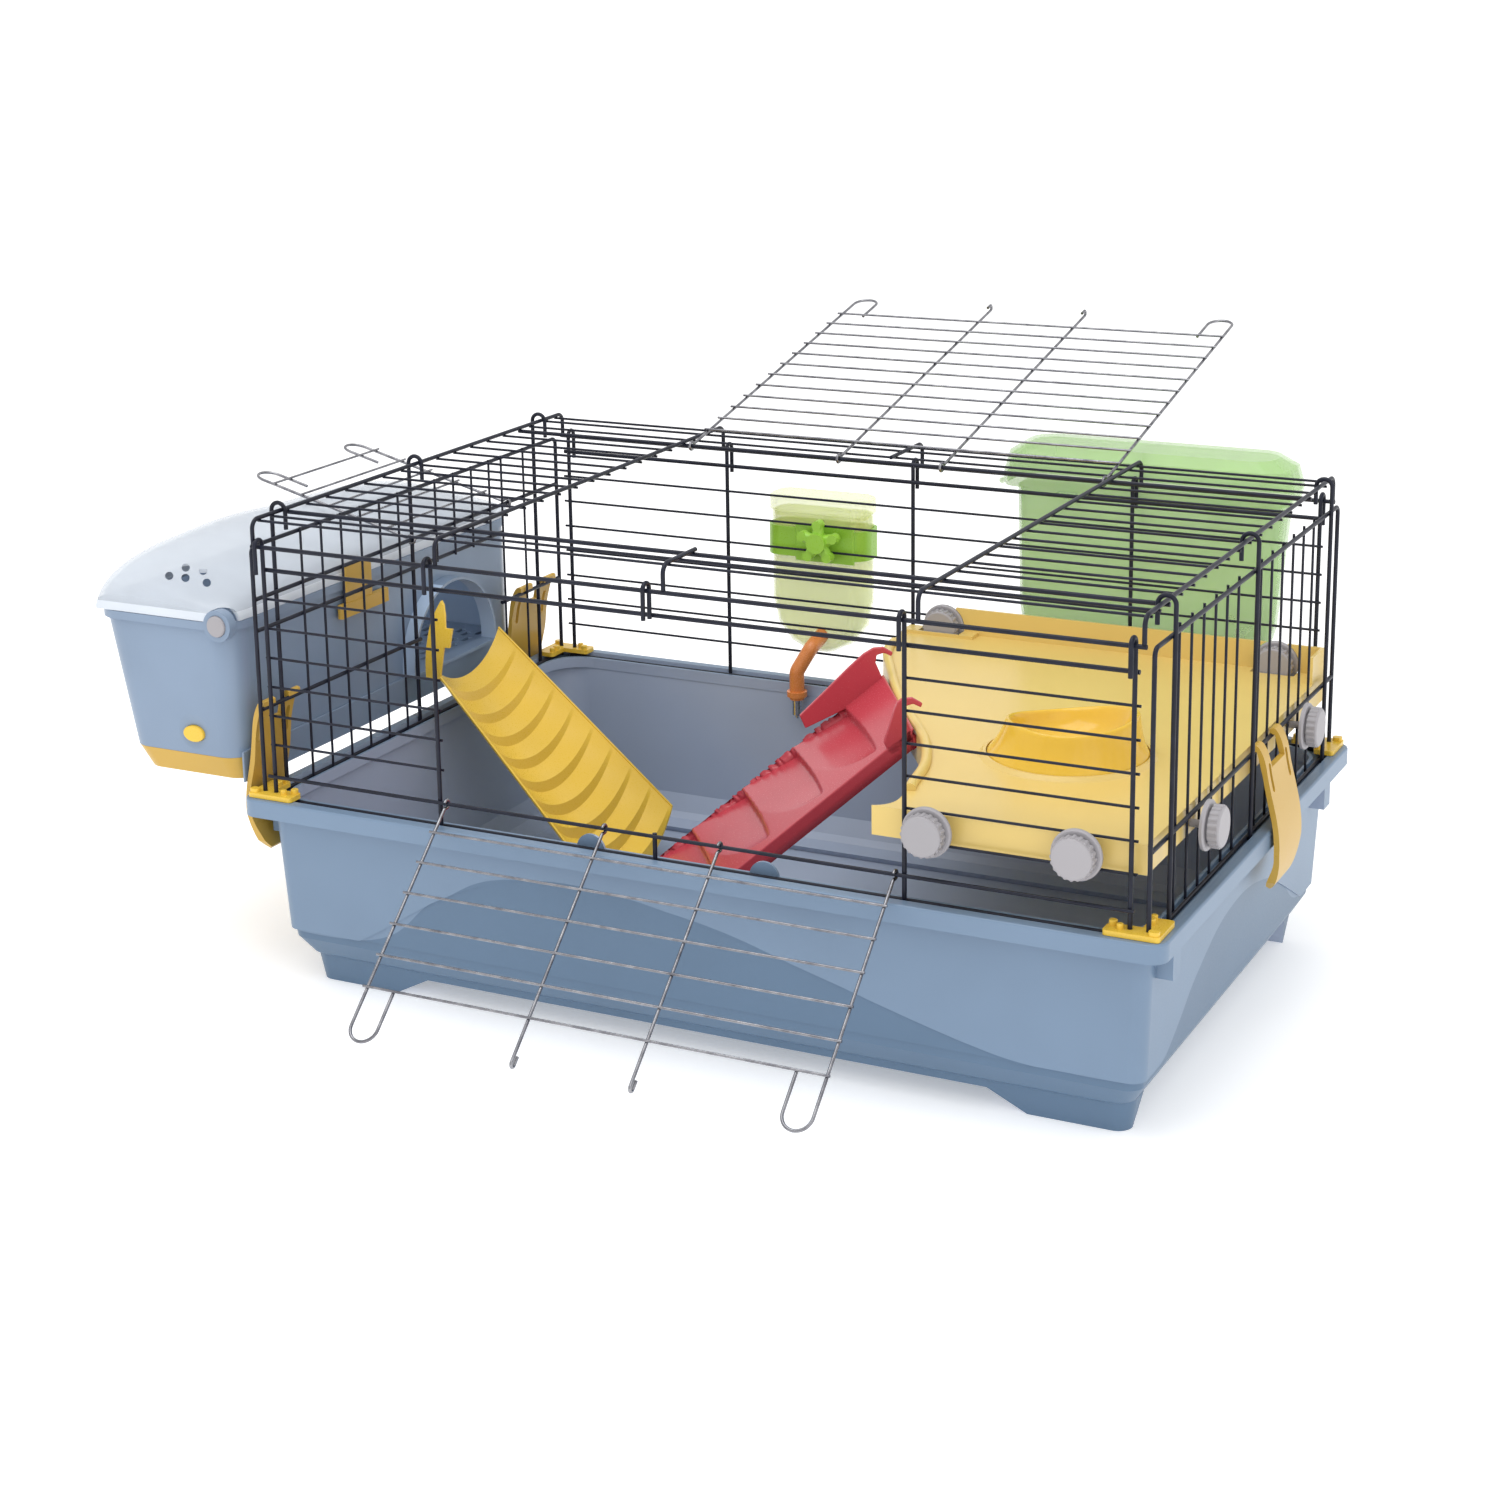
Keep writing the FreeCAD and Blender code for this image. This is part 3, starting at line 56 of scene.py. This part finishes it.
class Shader:
    """Small helper that builds one node material."""

    def __init__(self, name):
        self.material = bpy.data.materials.new(name)
        self.material.use_nodes = True
        self.tree = self.material.node_tree
        self.bsdf = self.tree.nodes["Principled BSDF"]
        self.place = self.add("ShaderNodeTexCoord").outputs["Object"]

    def add(self, kind, **inputs):
        node = self.tree.nodes.new(kind)
        for key, value in inputs.items():
            node.inputs[key].default_value = value
        return node

    def link(self, source, target):
        self.tree.links.new(source, target)

    def noise(self, scale, detail=3.0, stretch=None):
        """Noise in metres: scale is features per metre."""
        node = self.add("ShaderNodeTexNoise", Scale=scale, Detail=detail, Roughness=0.55)
        place = self.place
        if stretch is not None:
            mapping = self.add("ShaderNodeMapping", Scale=stretch)
            self.link(place, mapping.inputs["Vector"])
            place = mapping.outputs["Vector"]
        self.link(place, node.inputs["Vector"])
        return node.outputs["Fac"]

    def ramp(self, factor, low, high, start=0.3, end=0.7):
        node = self.add("ShaderNodeValToRGB")
        node.color_ramp.elements[0].position = start
        node.color_ramp.elements[1].position = end
        node.color_ramp.elements[0].color = low
        node.color_ramp.elements[1].color = high
        self.link(factor, node.inputs["Fac"])
        return node.outputs["Color"]

    def span(self, factor, low, high):
        node = self.add("ShaderNodeMapRange")
        node.inputs["To Min"].default_value = low
        node.inputs["To Max"].default_value = high
        self.link(factor, node.inputs["Value"])
        return node.outputs["Result"]

    def math(self, operation, first, second=0.0):
        """One sum on a socket, with a socket or a number beside it."""
        node = self.add("ShaderNodeMath")
        node.operation = operation
        self.link(first, node.inputs[0])
        if isinstance(second, (int, float)):
            node.inputs[1].default_value = second
        else:
            self.link(second, node.inputs[1])
        return node.outputs["Value"]

    def mix(self, factor, first, second):
        node = self.add("ShaderNodeMix")
        for name, source in (("Factor", factor), ("A", first), ("B", second)):
            self.link(source, node.inputs[name])
        return node.outputs["Result"]

    def blend(self, factor, first, second):
        """Colour mix: the first colour at 0 and the second at 1."""
        node = self.add("ShaderNodeMixRGB")
        for name, source in (("Fac", factor), ("Color1", first), ("Color2", second)):
            self.link(source, node.inputs[name])
        return node.outputs["Color"]

    def bump(self, heights, distance, strength=1.0):
        node = self.add("ShaderNodeBump", Strength=strength, Distance=distance)
        self.link(heights, node.inputs["Height"])
        self.link(node.outputs["Normal"], self.bsdf.inputs["Normal"])

    def set(self, **values):
        for key, value in values.items():
            self.bsdf.inputs[key.replace("_", " ")].default_value = value


def inward(shader, centre):
    """1 on faces that look towards the upright axis through `centre`, and 0 on faces that look away."""
    offset = shader.add("ShaderNodeVectorMath")
    offset.operation = "SUBTRACT"
    shader.link(shader.place, offset.inputs[0])
    offset.inputs[1].default_value = centre
    flat = shader.add("ShaderNodeVectorMath")
    flat.operation = "MULTIPLY"
    shader.link(offset.outputs["Vector"], flat.inputs[0])
    flat.inputs[1].default_value = (1.0, 1.0, 0.0)
    along = shader.add("ShaderNodeVectorMath")
    along.operation = "DOT_PRODUCT"
    shader.link(flat.outputs["Vector"], along.inputs[0])
    shader.link(shader.add("ShaderNodeNewGeometry").outputs["Normal"], along.inputs[1])
    return shader.math("LESS_THAN", along.outputs["Value"], -0.02)


def moulded(name, colour, rough=0.32, vary=0.06, grain=900.0, depth=0.00006, painted_light_inner=None):
    """Injection-moulded plastic: faint flow marks in the colour, fine grain in the gloss.

    The inner argument is a centre and a paler colour painted on the faces that look inwards, as painted
    light inside.
    """
    shader = Shader(name)
    flow = shader.noise(9.0, 2.0)
    base = shader.ramp(flow, shade(colour, 1 - vary), shade(colour, 1 + vary))
    # Painted light: faces that look inwards get the paler colour.
    if painted_light_inner is not None:
        centre, pale = painted_light_inner
        base = shader.blend(inward(shader, centre), base,
                            shader.ramp(flow, shade(pale, 1 - vary), shade(pale, 1 + vary)))
    shader.link(base, shader.bsdf.inputs["Base Color"])
    fine = shader.noise(grain, 2.0)
    shader.link(shader.span(fine, rough - 0.06, rough + 0.08), shader.bsdf.inputs["Roughness"])
    shader.bump(fine, depth, 0.5)
    shader.set(IOR=1.48)
    return shader.material


LID_LEDGE = 0.3228              # top of the carrier lid's dense flange
LEDGE_ALPHA = 0.93


def see_through(name, colour, clear, rough=0.12, vary=0.05, ledge=None):
    """Thin translucent plastic that lets part of the background through, denser below `ledge`."""
    shader = Shader(name)
    flow = shader.noise(14.0, 2.0)
    shader.link(shader.ramp(flow, shade(colour, 1 - vary), shade(colour, 1 + vary)),
                shader.bsdf.inputs["Base Color"])
    fine = shader.noise(700.0, 2.0)
    shader.link(shader.span(fine, rough - 0.03, rough + 0.07), shader.bsdf.inputs["Roughness"])
    shader.bump(shader.noise(40.0, 2.0), 0.0003, 0.25)
    shader.set(IOR=1.45, Alpha=clear)
    if ledge is not None:
        apart = shader.add("ShaderNodeSeparateXYZ")
        shader.link(shader.place, apart.inputs["Vector"])
        below = shader.math("LESS_THAN", apart.outputs["Z"], ledge)
        shader.link(shader.span(below, clear, LEDGE_ALPHA), shader.bsdf.inputs["Alpha"])
    shader.material.surface_render_method = "DITHERED"
    return shader.material


def wire_enamel():
    """Dark navy enamel with slightly thicker and thinner places."""
    shader = Shader("wire_enamel")
    shader.link(shader.ramp(shader.noise(60.0), (0.005, 0.006, 0.014, 1), (0.011, 0.014, 0.029, 1)),
                shader.bsdf.inputs["Base Color"])
    shader.link(shader.span(shader.noise(300.0), 0.34, 0.48), shader.bsdf.inputs["Roughness"])
    shader.bump(shader.noise(450.0), 0.00006, 0.4)
    shader.set(Specular_IOR_Level=0.30)
    return shader.material


def chrome_wire():
    """Zinc-plated wire: bright, a little streaked."""
    shader = Shader("chrome_wire")
    shader.link(shader.ramp(shader.noise(90.0), (0.15, 0.15, 0.17, 1), (0.33, 0.33, 0.35, 1)),
                shader.bsdf.inputs["Base Color"])
    shader.link(shader.span(shader.noise(400.0), 0.16, 0.34), shader.bsdf.inputs["Roughness"])
    shader.bump(shader.noise(500.0), 0.00008, 0.4)
    shader.set(Metallic=1.0)
    return shader.material


# TUB_UPPER is the tub's own blue. The darker blue below the wave line is painted shade for the recessed
# relief, and the paler inner blue is painted light on the inside walls and floor.
TUB_UPPER = srgb(114, 136, 161)
TUB_BELOW_WAVE_SHADE = srgb(88, 113, 139)
TUB_INNER_PAINTED_LIGHT = srgb(160, 172, 193)
WAVE_TOP = 0.16                 # height that the wave curves are scaled by
TUB_FLOOR_TOP = 0.10            # level faces below this height are the tub's floor
FRONT_WAVE = [(-0.40, 0.050), (-0.305, 0.050), (-0.225, 0.098), (-0.125, 0.132), (-0.010, 0.124),
              (0.120, 0.092), (0.235, 0.060), (0.295, 0.050), (0.40, 0.050)]
SIDE_WAVE = [(-0.26, 0.050), (-0.185, 0.051), (-0.165, 0.060), (-0.105, 0.096), (-0.030, 0.118),
             (0.050, 0.112), (0.130, 0.080), (0.190, 0.050), (0.26, 0.050)]


def tub_plastic():
    """Blue-grey tub: below the wave line, over the recessed wave and the foot bands, a darker blue is
    painted shade; the inside walls and floor get a paler blue as painted light.
    """
    shader = Shader("tub_blue_painted_shade_and_light")
    apart = shader.add("ShaderNodeSeparateXYZ")
    shader.link(shader.place, apart.inputs["Vector"])
    normal = shader.add("ShaderNodeSeparateXYZ")
    shader.link(shader.add("ShaderNodeNewGeometry").outputs["Normal"], normal.inputs["Vector"])
    lines = []
    for axis, half, points in (("X", 0.40, FRONT_WAVE), ("Y", 0.26, SIDE_WAVE)):
        share = shader.add("ShaderNodeMapRange", **{"From Min": -half, "From Max": half})
        shader.link(apart.outputs[axis], share.inputs["Value"])
        curve = shader.add("ShaderNodeFloatCurve")
        mapping = curve.mapping.curves[0]
        for index, (place, height) in enumerate(points):
            spot = ((place + half) / (2 * half), height / WAVE_TOP)
            if index < 2:
                mapping.points[index].location = spot
            else:
                mapping.points.new(*spot)
        curve.mapping.update()
        shader.link(share.outputs["Result"], curve.inputs["Value"])
        lines.append(shader.math("MULTIPLY", curve.outputs["Value"], WAVE_TOP))
    facing = shader.math("GREATER_THAN", shader.math("ABSOLUTE", normal.outputs["X"]),
                         shader.math("ABSOLUTE", normal.outputs["Y"]))
    wave = shader.mix(facing, lines[0], lines[1])
    # Painted shade: faces below the wave line get the darker blue.
    below = shader.math("LESS_THAN", apart.outputs["Z"], wave)
    flow = shader.noise(9.0, 2.0)
    upper = shader.ramp(flow, shade(TUB_UPPER, 0.96), shade(TUB_UPPER, 1.04))
    lower = shader.ramp(flow, shade(TUB_BELOW_WAVE_SHADE, 0.96), shade(TUB_BELOW_WAVE_SHADE, 1.04))
    # Painted light: inward walls and the floor get the paler blue.
    painted_light_within = shader.math("MAXIMUM", inward(shader, (0, 0, 0)),
                         shader.math("MULTIPLY", shader.math("GREATER_THAN", normal.outputs["Z"], 0.5),
                                     shader.math("LESS_THAN", apart.outputs["Z"], TUB_FLOOR_TOP)))
    painted_light_inner = shader.ramp(flow, shade(TUB_INNER_PAINTED_LIGHT, 0.96), shade(TUB_INNER_PAINTED_LIGHT, 1.04))
    shader.link(shader.blend(painted_light_within, shader.blend(below, upper, lower), painted_light_inner),
                shader.bsdf.inputs["Base Color"])
    fine = shader.noise(900.0, 2.0)
    shader.link(shader.span(fine, 0.30, 0.44), shader.bsdf.inputs["Roughness"])
    shader.bump(fine, 0.00006, 0.5)
    shader.set(IOR=1.48)
    return shader.material


def nozzle_steel():
    """Brushed steel with marks along the tube."""
    shader = Shader("nozzle_steel")
    marks = shader.noise(200.0, 2.0, (1, 1, 12))
    shader.link(shader.ramp(marks, (0.42, 0.42, 0.44, 1), (0.70, 0.70, 0.72, 1)),
                shader.bsdf.inputs["Base Color"])
    shader.link(shader.span(shader.noise(500.0), 0.18, 0.30), shader.bsdf.inputs["Roughness"])
    shader.set(Metallic=1.0)
    return shader.material


TUB = tub_plastic()
YELLOW = moulded("yellow_moulded", srgb(229, 190, 66), 0.28)
BOWL_YELLOW = moulded("bowl_yellow", srgb(229, 186, 58), 0.14, 0.04)
CREAM = moulded("platform_yellow", srgb(222, 193, 114), 0.30, 0.03, 500.0, 0.00003)
RED = moulded("red_moulded", srgb(190, 66, 78), 0.24)
# The carrier's faces that look in towards CABIN_CENTRE get a paler blue as painted light inside the cabin.
CABIN_CENTRE = (-0.47, -0.025, 0.0)
CARRIER = moulded("carrier_blue", srgb(127, 145, 168), 0.32, painted_light_inner=(CABIN_CENTRE, srgb(184, 204, 228)))
DOME = see_through("lid_dome", srgb(214, 221, 230), 0.56, ledge=LID_LEDGE)
GREEN = moulded("band_green", srgb(152, 204, 66), 0.28)
BOTTLE = see_through("bottle_tint", srgb(236, 244, 164), 0.38, 0.10)
HAY = see_through("hay_green", srgb(172, 212, 134), 0.46, 0.12)
ORANGE = moulded("elbow_orange", srgb(218, 134, 72), 0.26)
TRAY_YELLOW = moulded("tray_yellow", srgb(196, 158, 66), 0.34)
GREY = moulded("knob_grey", srgb(160, 157, 161), 0.42)
WIRE = wire_enamel()
CHROME = chrome_wire()
STEEL = nozzle_steel()

FINISHES = {
    TUB: ["tub"],
    WIRE: ["front_panel", "back_panel", "left_panel", "right_panel", "roof_panel"],
    CHROME: ["front_door", "roof_door", "left_door"],
    YELLOW: ["corner_connector_front_left", "corner_connector_front_right", "corner_connector_back_left",
             "corner_connector_back_right",
             "carrier_oval_button", "yellow_ramp", "food_bowl"],
    TRAY_YELLOW: ["carrier_tray", "carrier_latch", "clip_right", "clip_left_front", "clip_left_back"],
    CARRIER: ["carrier_base", "carrier_grate"],
    DOME: ["carrier_lid"],
    GREY: ["carrier_round_button", "knob_front_left", "knob_front_right", "knob_side_front",
           "knob_side_back", "knob_back_left", "knob_back_right"],
    CREAM: ["platform"],
    RED: ["red_ramp"],
    GREEN: ["bottle_holder", "bottle_knob"],
    BOTTLE: ["bottle_body", "bottle_lid"],
    ORANGE: ["bottle_elbow"],
    STEEL: ["bottle_nozzle", "nozzle_pin"],
    HAY: ["hay_rack_body", "hay_rack_lid"],
}
for material, names in FINISHES.items():
    for name in names:
        node = NODES[name]
        for index in range(max(1, len(node.material_slots))):
            if node.material_slots:
                node.material_slots[index].material = material
            else:
                node.data.materials.append(material)


# ---------------------------------------------------------------- rebuilt pieces
def mesh_piece(name, verts, faces, material, body, node, smooth=True):
    """New mesh that stands for a CAD node and moves with its body."""
    mesh = bpy.data.meshes.new(name)
    mesh.from_pydata([tuple(v) for v in verts], [], faces)
    mesh.materials.append(material)
    mesh.validate()
    for polygon in mesh.polygons:
        polygon.use_smooth = smooth
    piece = bpy.data.objects.new(name, mesh)
    bpy.context.collection.objects.link(piece)
    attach(piece, body)
    if node:
        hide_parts(node)
    return piece


def smooth_step(value, low, high):
    t = min(1.0, max(0.0, (value - low) / (high - low)))
    return t * t * (3 - 2 * t)


def skin_faces(rows, columns, closed=False):
    """Quads between neighbouring rows of points."""
    faces = []
    for i in range(rows - 1):
        for j in range(columns if closed else columns - 1):
            k = (j + 1) % columns
            faces.append((i * columns + j, i * columns + k, (i + 1) * columns + k, (i + 1) * columns + j))
    return faces


RED_TOP = Vector((0.0400, 0.0691, 0.2406))
RED_SLOPE, RED_HEADING = math.radians(38.0), math.radians(212.6)
RED_WIDTH, RED_LENGTH = 0.156, 0.323
RED_PITCH, RED_DEPTH = 0.0565, 0.0085
RED_REACH = 0.90                # share of the width that the hollows take
RED_FIRST = 0.012               # how far the first hollow starts above one pitch
RED_TREADS = 6
RED_WALL = 0.0022
RED_ROWS, RED_COLUMNS = 210, 96
RED_SIDES = [-0.014, -0.007, -0.0012]     # heights of the folded edge, from its lip upwards
RED_LOWEST = 0.0203             # the ramp rests on the tub's floor
HOOK_THICK = 0.0040
HOOK_SLOPE = 0.62               # slope of the hooks as a share of the ramp's
HOOKS = (("red_hook_back", 0.0, 0.080), ("red_hook_front", RED_WIDTH - HOOK_THICK, 0.026))


def red_depth(along, across):
    """Depth of the shell-shaped hollows in the red tread."""
    share = across / RED_WIDTH
    if share >= RED_REACH:
        return 0.0
    bow = math.sin(math.pi * 0.5 * min(1.0, share / RED_REACH))
    steep = -0.010 * bow
    fall = math.sqrt(max(0.0, 1 - (share / RED_REACH) ** 2))
    gentle = -(RED_PITCH + 0.010) * (1 - fall)
    depth = 0.0
    for k in range(1, RED_TREADS + 1):
        upper = k * RED_PITCH - RED_FIRST + steep
        lower = (k + 1) * RED_PITCH - RED_FIRST + gentle
        if lower > upper and upper - 0.002 < along < lower:
            t = (lower - along) / (lower - upper)
            edge = smooth_step(along, upper - 0.001, upper + 0.002)
            depth = max(depth, RED_DEPTH * min(1.0, t) * fall * edge)
    return depth


def to_ramp(along, across, up):
    """Point on the red ramp: metres down its slope, across it and square to it."""
    turn = Matrix.Rotation(RED_HEADING, 3, "Z") @ Matrix.Rotation(RED_SLOPE, 3, "Y")
    return turn @ Vector((along, across, up)) + RED_TOP


def red_ramp():
    """Tread with shell-shaped hollows and folded edges, and its two hooks."""
    tread = [RED_WIDTH * i / RED_COLUMNS for i in range(RED_COLUMNS + 1)]
    columns = [0.0] * len(RED_SIDES) + tread + [RED_WIDTH] * len(RED_SIDES)
    heights = RED_SIDES + [None] * len(tread) + RED_SIDES[::-1]
    verts = []
    for row in range(RED_ROWS + 1):
        along = RED_LENGTH * row / RED_ROWS
        for across, height in zip(columns, heights):
            up = -red_depth(along, across) if height is None else height
            shift = -up * math.tan(RED_SLOPE) if row == 0 else 0.0
            point = to_ramp(along + max(0.0, shift), across, up)
            point.z = max(point.z, RED_LOWEST)
            verts.append(point)
    piece = mesh_piece("red_ramp_tread", verts, skin_faces(RED_ROWS + 1, len(columns)), RED, "red_ramp",
                       "red_ramp")
    thick = piece.modifiers.new("wall", "SOLIDIFY")
    thick.thickness = RED_WALL
    thick.offset = 1.0
    for name, start, run in HOOKS:
        red_hook(name, start, run)


def red_hook(name, start, run):
    """Side plate that rises over the last `run` of the ramp and curls over the platform's bead."""
    outline = [(run, -0.013), (run, -0.0005), (0.64 * run, 0.010), (0.31 * run, 0.020),
               (0.1 * run, 0.0255), (-0.002, 0.0265),
               (-0.010, 0.0235), (-0.0155, 0.0155), (-0.0130, 0.0130), (-0.0085, 0.0185), (-0.002, 0.0195),
               (0.0015, 0.0140), (0.0020, -0.012)]
    turn = Matrix.Rotation(RED_HEADING, 3, "Z") @ Matrix.Rotation(RED_SLOPE * HOOK_SLOPE, 3, "Y")
    verts = []
    for side in (start, start + HOOK_THICK):
        verts += [turn @ Vector((x, side, z)) + RED_TOP for x, z in outline]
    count = len(outline)
    faces = [tuple(range(count)), tuple(range(2 * count - 1, count - 1, -1))]
    faces += [(i, i + count, (i + 1) % count + count, (i + 1) % count) for i in range(count)]
    piece = mesh_piece(name, verts, faces, RED, "red_ramp", None, smooth=False)
    round_edges(piece, 0.0009)


def round_edges(piece, width, segments=3):
    bevel = piece.modifiers.new("round", "BEVEL")
    bevel.width = width
    bevel.segments = segments
    bevel.limit_method = "ANGLE"
    bevel.angle_limit = math.radians(40)
    bevel.harden_normals = True


BOWL = Vector((0.256, -0.062, 0.2361))    # middle of the bowl's foot, on the platform
BOWL_AROUND = 120
BOWL_FOOT, BOWL_WALL = 0.004, 0.026       # height of the foot, and of the waved wall above it
BOWL_WELL_R = 0.03                        # the floor inside this radius stays level


def food_bowl():
    """Heavy glossy bowl: round foot, waved rim that dips at the front, smooth well."""
    profile = [(0.0004, 0.0), (0.0610, 0.0), (0.0634, 0.0006), (0.0640, 0.0024), (0.0618, 0.0048),
               (0.0580, 0.0110), (0.0548, 0.0190), (0.0530, 0.0262), (0.0522, 0.0292), (0.0504, 0.0300),
               (0.0486, 0.0290), (0.0470, 0.0250), (0.0440, 0.0160), (0.0380, 0.0085), (0.0280, 0.0048),
               (0.0140, 0.0036), (0.0004, 0.0034)]
    verts = []
    for radius, height in profile:
        lift = max(0.0, (height - BOWL_FOOT) / BOWL_WALL)
        for step in range(BOWL_AROUND):
            angle = 2 * math.pi * step / BOWL_AROUND
            wave = 0.0050 * math.sin(angle + 2.2) + 0.0032 * math.sin(2 * angle + 0.7)
            spread = 1 + 0.07 * lift * math.cos(angle - 0.35)
            rise = lift * wave if radius > BOWL_WELL_R else 0.0
            verts.append(BOWL + Vector((radius * spread * math.cos(angle),
                                        radius * spread * math.sin(angle), height + rise)))
    faces = skin_faces(len(profile), BOWL_AROUND, closed=True)
    faces.append(tuple(range(BOWL_AROUND - 1, -1, -1)))
    last = (len(profile) - 1) * BOWL_AROUND
    faces.append(tuple(range(last, last + BOWL_AROUND)))
    piece = mesh_piece("food_bowl_waved", verts, faces, BOWL_YELLOW, "food_bowl", "food_bowl")
    smooth = piece.modifiers.new("smooth", "SUBSURF")
    smooth.levels = 1
    smooth.render_levels = 1


DOCK_SKIRT = ((-0.4076, -0.2425, 0.1775), (-0.4056, 0.1925, 0.2040))


def dock_skirt():
    """Strip of the carrier body that hides its foot tray on the side next to the cage."""
    (x0, y0, z0), (x1, y1, z1) = DOCK_SKIRT
    verts = [(x, y, z) for x in (x0, x1) for y in (y0, y1) for z in (z0, z1)]
    faces = [(0, 1, 3, 2), (4, 6, 7, 5), (0, 4, 5, 1), (2, 3, 7, 6), (0, 2, 6, 4), (1, 5, 7, 3)]
    piece = mesh_piece("carrier_dock_skirt", verts, faces, CARRIER, "carrier", None,
                       smooth=False)
    round_edges(piece, 0.0008)


# ---------------------------------------------------------------- floor, light, camera
FLOOR_REACH = 30.0
FLOOR_GLOW = 0.30               # lifts the shadow to the pale grey of a studio sweep
WORLD_STRENGTH = 0.95
AIM = Vector((0, 0, 0.2))
LAMPS = (("key", (-0.3, -0.5, 2.6), 2.0, 30.0), ("fill", (2.2, -2.0, 1.6), 2.2, 9.0))


def studio():
    """White floor, white surroundings, and two soft lamps: one overhead and one from the right."""
    floor_mesh = bpy.data.meshes.new("floor")
    corners = [(-1, -1), (1, -1), (1, 1), (-1, 1)]
    floor_mesh.from_pydata([(FLOOR_REACH * x, FLOOR_REACH * y, 0) for x, y in corners], [], [(0, 1, 2, 3)])
    floor = bpy.data.objects.new("floor", floor_mesh)
    bpy.context.collection.objects.link(floor)
    shader = Shader("floor_white")
    shader.link(shader.ramp(shader.noise(2.0), (0.94, 0.94, 0.94, 1), (0.96, 0.96, 0.96, 1)),
                shader.bsdf.inputs["Base Color"])
    shader.set(Roughness=0.95, Specular_IOR_Level=0.1, Emission_Strength=FLOOR_GLOW)
    shader.bsdf.inputs["Emission Color"].default_value = (1, 1, 1, 1)
    floor_mesh.materials.append(shader.material)

    world = bpy.data.worlds.new("studio")
    bpy.context.scene.world = world
    world.use_nodes = True
    world.node_tree.nodes["Background"].inputs["Color"].default_value = (1, 1, 1, 1)
    world.node_tree.nodes["Background"].inputs["Strength"].default_value = WORLD_STRENGTH
    bpy.context.scene.view_settings.view_transform = "Standard"

    for name, place, size, power in LAMPS:
        lamp = bpy.data.lights.new(name, "AREA")
        lamp.size = size
        lamp.energy = power
        holder = bpy.data.objects.new(name, lamp)
        bpy.context.collection.objects.link(holder)
        holder.location = place
        aim = AIM - Vector(place)
        holder.rotation_euler = aim.to_track_quat("-Z", "Y").to_euler()


CAMERA_PLACE = Vector((0.95425, -2.00181, 0.90084))
CAMERA_YAW, CAMERA_PITCH, CAMERA_ROLL = -0.4657, 0.2452, -0.0146
SENSOR_MM, LENS_MM, SHIFT_UP = 36.0, 65.74, -0.12
CLIP_END = 50.0


def camera():
    """Seen from the front right, a little above, with the picture shifted down."""
    ahead = Vector((math.sin(CAMERA_YAW) * math.cos(CAMERA_PITCH),
                    math.cos(CAMERA_YAW) * math.cos(CAMERA_PITCH), -math.sin(CAMERA_PITCH)))
    level = Vector((math.cos(CAMERA_YAW), -math.sin(CAMERA_YAW), 0.0))
    upright = level.cross(ahead)
    right = level * math.cos(CAMERA_ROLL) + upright * math.sin(CAMERA_ROLL)
    up = upright * math.cos(CAMERA_ROLL) - level * math.sin(CAMERA_ROLL)
    lens = bpy.data.cameras.new("camera")
    lens.sensor_width = SENSOR_MM
    lens.lens = LENS_MM
    lens.shift_y = SHIFT_UP
    lens.clip_end = CLIP_END
    holder = bpy.data.objects.new("camera", lens)
    bpy.context.collection.objects.link(holder)
    turn = Matrix((right, up, -ahead)).transposed()
    holder.matrix_world = Matrix.Translation(CAMERA_PLACE) @ turn.to_4x4()
    bpy.context.scene.camera = holder


red_ramp()
food_bowl()
dock_skirt()
studio()
camera()
